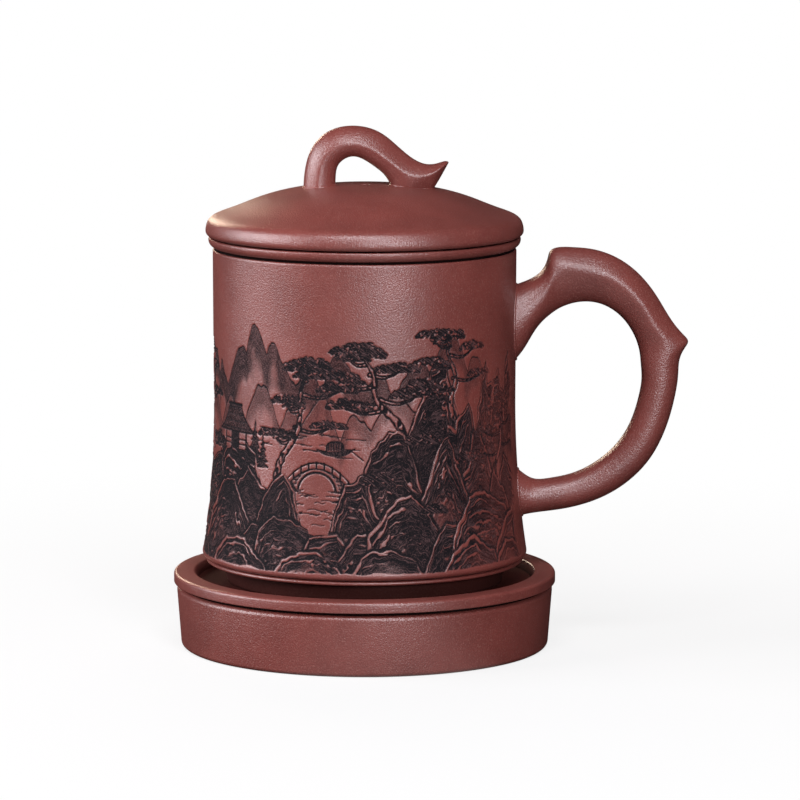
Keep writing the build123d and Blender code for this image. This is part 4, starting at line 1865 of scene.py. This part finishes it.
    def build_base(self) -> None:
        """Builds the base slab, the foot and the mouth ring."""
        floor_low, floor_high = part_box("cup_floor")
        foot_low, foot_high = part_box("foot_ring")
        ring_low, ring_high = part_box("mouth_ring")
        inside = self.radius + self.hem_flare - self.wall
        hem = self.base - self.hem_slit
        floor = [
            (0, floor_low.z, 0),
            (floor_high.y, floor_low.z, self.base_round),
            (floor_high.y, hem, self.base_round),
            (inside, hem, 0),
            (inside, self.base, 0),
            (inside - self.base_round, floor_high.z, 0),
            (0, floor_high.z, 0),
        ]
        bore = foot_high.y - self.foot_wall
        foot = [
            (bore, foot_low.z, self.foot_round),
            (foot_high.y - self.foot_taper, foot_low.z, self.foot_round),
            (foot_high.y, foot_high.z, 0),
            (bore, foot_high.z, 0),
        ]
        bore = ring_high.y - self.ring_width
        slit = ring_high.y - self.slit_depth
        lip = ring_high.y - self.lip_width
        ring = [
            (bore, ring_low.z, 0),
            (slit, ring_low.z, 0),
            (slit, ring_low.z + self.wall_slit, 0),
            (ring_high.y, ring_low.z + self.wall_slit, self.ring_hem_round),
            (ring_high.y, ring_high.z, self.ring_top_round),
            (lip, ring_high.z, 0),
            (lip - self.lip_shade, ring_high.z, 0),
            (bore, ring_high.z, 0),
        ]
        # The slits, the seam on the ring's top where the lid sits, the hem slit and the foot are painted dark
        # as shade.
        grooves = [
            Groove(slit, slit, ring_low.z, ring_low.z + self.wall_slit),
            Groove(lip, lip, ring_high.z, ring_high.z),
            Groove(inside, inside, hem, self.base),
            Groove(0, foot_high.y, foot_low.z, foot_high.z, self.foot_painted_shade),
        ]
        for node, corners in {"cup_floor": floor, "foot_ring": foot, "mouth_ring": ring}.items():
            self.turning.turn(node, Body.CUP, corners, grooves)

    def build_handle(self) -> None:
        """Builds the handle, with its thumb spur and its thorn."""
        middle = self.base + (self.rim - self.base) * self.handle_middle_share
        foot = middle - self.handle_height * self.handle_root_middle_share
        bar = SculptedBar(
            origin=Vector((self.radius, 0, foot)),
            length=self.handle_reach,
            height=self.handle_height,
            width=self.handle_width,
            runs=(HANDLE_ROOT, HANDLE_ARM, HANDLE_LOOP),
            undercut_share=self.handle_undercut_share,
            soften=self.handle_soften,
        )
        face = self.side()[0][::-1]

        def outside(places: Array) -> Array:
            """How far places stand out of the wall."""
            wall = np.interp(places[..., 2], face[:, 1], face[:, 0])
            return np.hypot(places[..., 0], places[..., 1]) - wall

        bar.lute("handle", Body.CUP, self.clay, self.bead, outside, (1.0, 0.0, 0.0))


@dataclass
class Liner:
    """The strainer liner that hangs in the cup's mouth."""

    turning: Turning
    floor_strainer: FloorStrainer
    wall_strainer: WallStrainer
    wall: float = 0.0026
    rounding: float = 0.0006
    hole_radius: float = 0.0012
    floor_holes: int = 61
    floor_rings: int = 4
    floor_margin: float = 0.0060
    wall_rows: int = 2
    wall_holes: int = 18
    row_pitch: float = 0.0070
    bit_overrun: float = 2.0

    def build(self) -> None:
        """Builds and seats the liner's pieces."""
        rim_low, rim_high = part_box("liner_rim")
        wall_low, wall_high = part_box("liner_wall")
        floor_low, floor_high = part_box("liner_floor")
        bore = wall_high.y - self.wall
        rounding = self.rounding
        self.wall_strainer.turn(
            "liner_wall",
            Body.LINER,
            band(bore, wall_high.y, wall_low.z, wall_high.z, 0, rounding, 0, 0),
            holes=self.wall_rows * self.wall_holes,
            hole_radius=self.hole_radius,
            bit_length=self.wall * self.bit_overrun,
            height=floor_high.z + self.row_pitch,
            pitch=self.row_pitch,
            holes_in_row=self.wall_holes,
            wall_radius=wall_high.y - self.wall / 2,
        )
        self.floor_strainer.turn(
            "liner_floor",
            Body.LINER,
            band(0, bore, floor_low.z, floor_high.z),
            holes=self.floor_holes,
            hole_radius=self.hole_radius,
            bit_length=(floor_high.z - floor_low.z) * self.bit_overrun,
            height=(floor_low.z + floor_high.z) / 2,
            pitch=(bore - self.floor_margin) / self.floor_rings,
        )
        rim = band(bore, rim_high.y, rim_low.z, rim_high.z, 0, 0, rounding, rounding)
        self.turning.turn("liner_rim", Body.LINER, rim)


@dataclass
class Lid:
    """The lid: a hollow dome with a vent, the flange under it and the bridge knob."""

    turning: Turning
    clay: Material
    brim_height: float = 0.0016
    brim_tuck: float = 0.0009
    slit_height: float = 0.00045
    slit_depth: float = 0.0032
    thickness: float = 0.0044
    flange_wall: float = 0.0030
    flange_round: float = 0.0007
    vent_radius: float = 0.0011
    vent_round: float = 0.0004
    spring_share: float = 0.5
    wear_step: float = 0.0003
    wear_rounds: int = 3
    knob_length: float = 0.0400
    knob_height: float = 0.0161
    knob_width: float = 0.0108
    knob_ring_pitch: float = 0.0004
    knob_soften: int = 1
    bead: SlipBead = SlipBead(0.00035)
    crown_points: int = 80
    brim_steps: int = 12
    ceiling_steps: int = 24
    lip_points: int = 6
    crown_shares: tuple[Place, ...] = (
        (0.0, 1.0), (0.46, 0.899), (0.697, 0.700), (0.80, 0.573), (0.874, 0.487), (0.925, 0.431),
        (0.955, 0.391), (0.968, 0.365), (0.984, 0.316),
    )

    def build(self) -> None:
        """Builds and seats the lid's pieces."""
        dome_low, dome_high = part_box("lid_dome")
        flange_low, flange_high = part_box("lid_flange")
        bore = flange_high.y - self.flange_wall
        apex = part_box("lid_knob")[1].z - self.knob_height
        section = self.dome_section(dome_high.y, dome_low.z, apex, bore)
        slit = dome_high.y - self.slit_depth
        # The slit under the brim is painted dark as shade.
        groove = Groove(slit, slit, dome_low.z, dome_low.z + self.slit_height)
        seat(self.turning.piece("lid_dome_clay", section, [groove]), Body.LID, "lid_dome")
        rounding = self.flange_round
        flange = band(bore, flange_high.y, flange_low.z, flange_high.z, rounding, rounding, 0, 0)
        self.turning.turn("lid_flange", Body.LID, flange)
        bar = SculptedBar(
            origin=Vector((0, 0, apex)),
            length=self.knob_length,
            height=self.knob_height,
            width=self.knob_width,
            runs=(KNOB_BRIDGE,),
            ring_pitch=self.knob_ring_pitch,
            soften=self.knob_soften,
        )
        crown = self.crown(dome_high.y, dome_low.z, apex)

        def outside(places: Array) -> Array:
            """How far places stand above the dome."""
            away = np.hypot(places[..., 0], places[..., 1])
            return places[..., 2] - np.interp(away, crown[:, 0], crown[:, 1])

        bar.lute("lid_knob", Body.LID, self.clay, self.bead, outside, (0.0, 0.0, 1.0))

    def crown(self, radius: float, foot: float, apex: float) -> Array:
        """The dome's upper face, from its middle out to the brim.

        Args:
            radius: The lid's radius.
            foot, apex: The heights of its seat and its crown.

        Returns:
            The points' radii and heights.
        """
        shares = np.array(self.crown_shares)
        across = np.concatenate([-shares[:0:-1, 0], shares[:, 0]]) * radius
        up = foot + np.concatenate([shares[:0:-1, 1], shares[:, 1]]) * (apex - foot)
        run = np.linspace(0, across[-1], self.crown_points)
        return np.stack([run, natural_spline(across, up[:, None], run)[:, 0]], axis=1)

    def dome_section(self, radius: float, foot: float, apex: float, bore: float) -> Array:
        """The dome's section.

        Args:
            radius: The lid's radius.
            foot, apex: The heights of its seat and its crown.
            bore: The flange's bore, where the ceiling springs.

        Returns:
            Its points, from the vent out along the ceiling, under the brim and back over the crown.
        """
        crown = self.crown(radius, foot, apex)
        tip = (radius, foot + self.brim_height)
        roll, _ = tangent_arc(tip, (0.0, 1.0), tuple(crown[-1]), self.brim_steps)
        fold = (radius - self.brim_tuck, foot + self.slit_height)
        tuck, _ = tangent_arc(tip, (0.0, -1.0), fold, self.brim_steps)
        spring = (bore, foot + (apex - self.thickness - foot) * self.spring_share)
        ceiling, _ = tangent_arc((0.0, apex - self.thickness), (1.0, 0.0), spring, self.ceiling_steps)
        outer = self.softened(np.concatenate([crown, roll[-2::-1], [tip], tuck]))
        outer = outer[outer[:, 0] > self.vent_radius + self.vent_round]
        lip_top = np.interp(self.vent_radius + self.vent_round, *crown.T)
        turns = np.linspace(0, math.pi / 2, self.lip_points)
        lip = np.stack([1 - np.cos(turns), np.sin(turns) - 1], axis=1) * self.vent_round
        lip = lip + (self.vent_radius, lip_top)
        under = ceiling[ceiling[:, 0] > self.vent_radius][::-1]
        slit = radius - self.slit_depth
        inside = [
            (slit, foot + self.slit_height),
            (slit, foot),
            (bore, foot),
            *under,
            (self.vent_radius, apex - self.thickness),
        ]
        return np.concatenate([lip, outer, inside])[::-1]

    def softened(self, line: Array) -> Array:
        """Wears the corners of a line round.

        Args:
            line: The line's points.

        Returns:
            The line in even steps, with its ends kept.
        """
        knots = lengths_along(line)
        places = np.linspace(0, knots[-1], round(knots[-1] / self.wear_step) + 1)
        line = np.stack([np.interp(places, knots, line[:, axis]) for axis in (0, 1)], axis=1)
        for _ in range(self.wear_rounds):
            line[1:-1] = evened(line, 0)[1:-1]
        return line


@dataclass(frozen=True)
class Softbox:
    """A rectangular studio lamp."""

    name: str
    place: Point
    width: float
    height: float
    power: float
    colour: Point
    aim: Point = (0, 0, 0.07)
    gloss: bool = True

    def hang(self) -> None:
        """Hangs the lamp in the scene."""
        lamp = bpy.data.lights.new(self.name, "AREA")
        lamp.shape = "RECTANGLE"
        lamp.size = self.width
        lamp.size_y = self.height
        lamp.energy = self.power
        lamp.color = self.colour
        holder = linked(self.name, lamp)
        holder.location = self.place
        holder.visible_glossy = self.gloss
        holder.rotation_euler = (Vector(self.aim) - Vector(self.place)).to_track_quat("-Z", "Y").to_euler()


@dataclass
class Studio:
    """A white sweep, soft lamps and the camera at the photograph's viewing angle."""

    target: Point = (0.0, 0.0, 0.072)
    distance: float = 1.390
    elevation: float = math.radians(7.9)
    focal_pixels: float = 5035.0
    frame_pixels: float = 800.0
    target_pixel: Place = (364.6, 386.0)
    sensor: float = 36.0
    floor_half: float = 6.0
    floor_colour: Colour = (0.80, 0.80, 0.80, 1)
    bounce_colour: Colour = (0.12, 0.115, 0.115, 1)
    floor_glow_share: float = 0.80
    unlit_colour: Colour = (0.01, 0.01, 0.01, 1)
    floor_gloss_share: float = 0.45
    bright_side: Point = (0.156, -0.988, 0.0)
    bright_spread: Place = (0.70, 0.97)
    floor_far: Place = (0.08, 0.34)
    ambient: float = 0.02
    lamps: tuple[Softbox, ...] = (
        Softbox("front", (0.0, -0.79, 0.97), 0.70, 0.45, 10.2, (0.98, 0.96, 1.0)),
        Softbox("low", (0.36, -1.09, 0.32), 0.28, 0.18, 6.4, (0.97, 0.95, 1.0), (0, 0, 0.08)),
        Softbox("left", (-1.15, 0.08, 0.41), 0.50, 0.70, 8.0, (0.98, 0.96, 1.0)),
        Softbox("key", (-1.03, -0.42, 0.48), 0.40, 0.60, 7.2, (0.98, 0.96, 1.0)),
        Softbox("rim", (-0.42, 1.05, 0.44), 0.25, 0.25, 2.8, (1.0, 0.80, 0.60)),
        Softbox("back", (0.31, 1.16, 0.55), 0.80, 0.50, 5.2, (1.0, 0.98, 0.97), gloss=False),
    )

    def build(self) -> None:
        """Builds the studio."""
        bpy.context.scene.view_settings.view_transform = "Standard"
        self.build_floor()
        self.build_world()
        for lamp in self.lamps:
            lamp.hang()
        self.build_camera()

    def seen(self, bench: Bench) -> Wire:
        """How far a ray sees the white: directly or through glass in full, and in gloss in part.

        Args:
            bench: The floor's bench.

        Returns:
            The share of white. Gloss sees it on the lit side alone.
        """
        camera = bench.ray("Is Camera Ray")
        through = bench.ray("Is Transmission Ray")
        toward = bench.add("ShaderNodeVectorMath", {"operation": "NORMALIZE"}, {0: bench.place()})
        inputs = {0: toward, 1: self.bright_side}
        facing = bench.add("ShaderNodeVectorMath", {"operation": "DOT_PRODUCT"}, inputs, "Value")
        lit = bench.ramp(facing, *self.bright_spread) * self.floor_gloss_share
        gloss = bench.ray("Is Glossy Ray") * lit
        return camera.sum("MAXIMUM", camera.sum("MAXIMUM", camera, through), gloss)

    def build_floor(self) -> None:
        """Lays a pale floor that looks white and keeps the shadow."""
        half = self.floor_half
        corners = np.array([(-half, -half, 0), (half, -half, 0), (half, half, 0), (-half, half, 0)])
        finish, bench = new_finish("studio_floor")
        seen = self.seen(bench)
        colour = bench.blend(seen, self.bounce_colour, self.floor_colour)
        colour = bench.blend(bench.ray("Is Glossy Ray"), colour, self.unlit_colour)
        paper = bench.add("ShaderNodeBsdfDiffuse", inputs={"Color": colour})
        glow = bench.add("ShaderNodeEmission", inputs={"Color": (1, 1, 1, 1), "Strength": 1.0})
        away = bench.add("ShaderNodeVectorMath", {"operation": "LENGTH"}, {0: bench.place()}, "Value")
        far = bench.ramp(away, *self.floor_far)
        bench.cover(seen * (far * (1 - self.floor_glow_share) + self.floor_glow_share), paper, glow)
        mesh_object("studio_floor", corners, [(0, 1, 2, 3)], finish)

    def build_world(self) -> None:
        """Lights the studio dimly all round."""
        world = bpy.data.worlds.new("studio")
        world.use_nodes = True
        bpy.context.scene.world = world
        bench = Bench(world.node_tree)
        light = bench.add("ShaderNodeBackground", inputs={"Color": (1, 1, 1, 1), "Strength": self.ambient})
        bench.add("ShaderNodeOutputWorld", inputs={"Surface": light})

    def build_camera(self) -> None:
        """Sets the camera up."""
        target = Vector(self.target)
        back = Vector((0, -math.cos(self.elevation), math.sin(self.elevation)))
        lens = bpy.data.cameras.new("camera")
        lens.sensor_width = self.sensor
        lens.lens = self.sensor * self.focal_pixels / self.frame_pixels
        middle = self.frame_pixels / 2
        lens.shift_x = (middle - self.target_pixel[0]) / self.frame_pixels
        lens.shift_y = (self.target_pixel[1] - middle) / self.frame_pixels
        holder = linked("camera", lens)
        holder.location = target + back * self.distance
        holder.rotation_euler = (-back).to_track_quat("-Z", "Y").to_euler()
        bpy.context.scene.camera = holder


def main() -> None:
    """Builds the dressed cup and its studio."""
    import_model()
    logging.basicConfig(level=logging.INFO, format="%(message)s")
    clay = ClayFinish().material()
    carved = CarvedClayFinish().material()
    turning = Turning(clay)
    raw_turning = Turning(RawClayFinish().material())
    Saucer(turning, raw_turning).build()
    Cup(turning, clay, carved).build()
    Liner(turning, FloorStrainer(clay), WallStrainer(clay)).build()
    Lid(turning, clay).build()
    Studio().build()


if __name__ == "__main__":
    main()
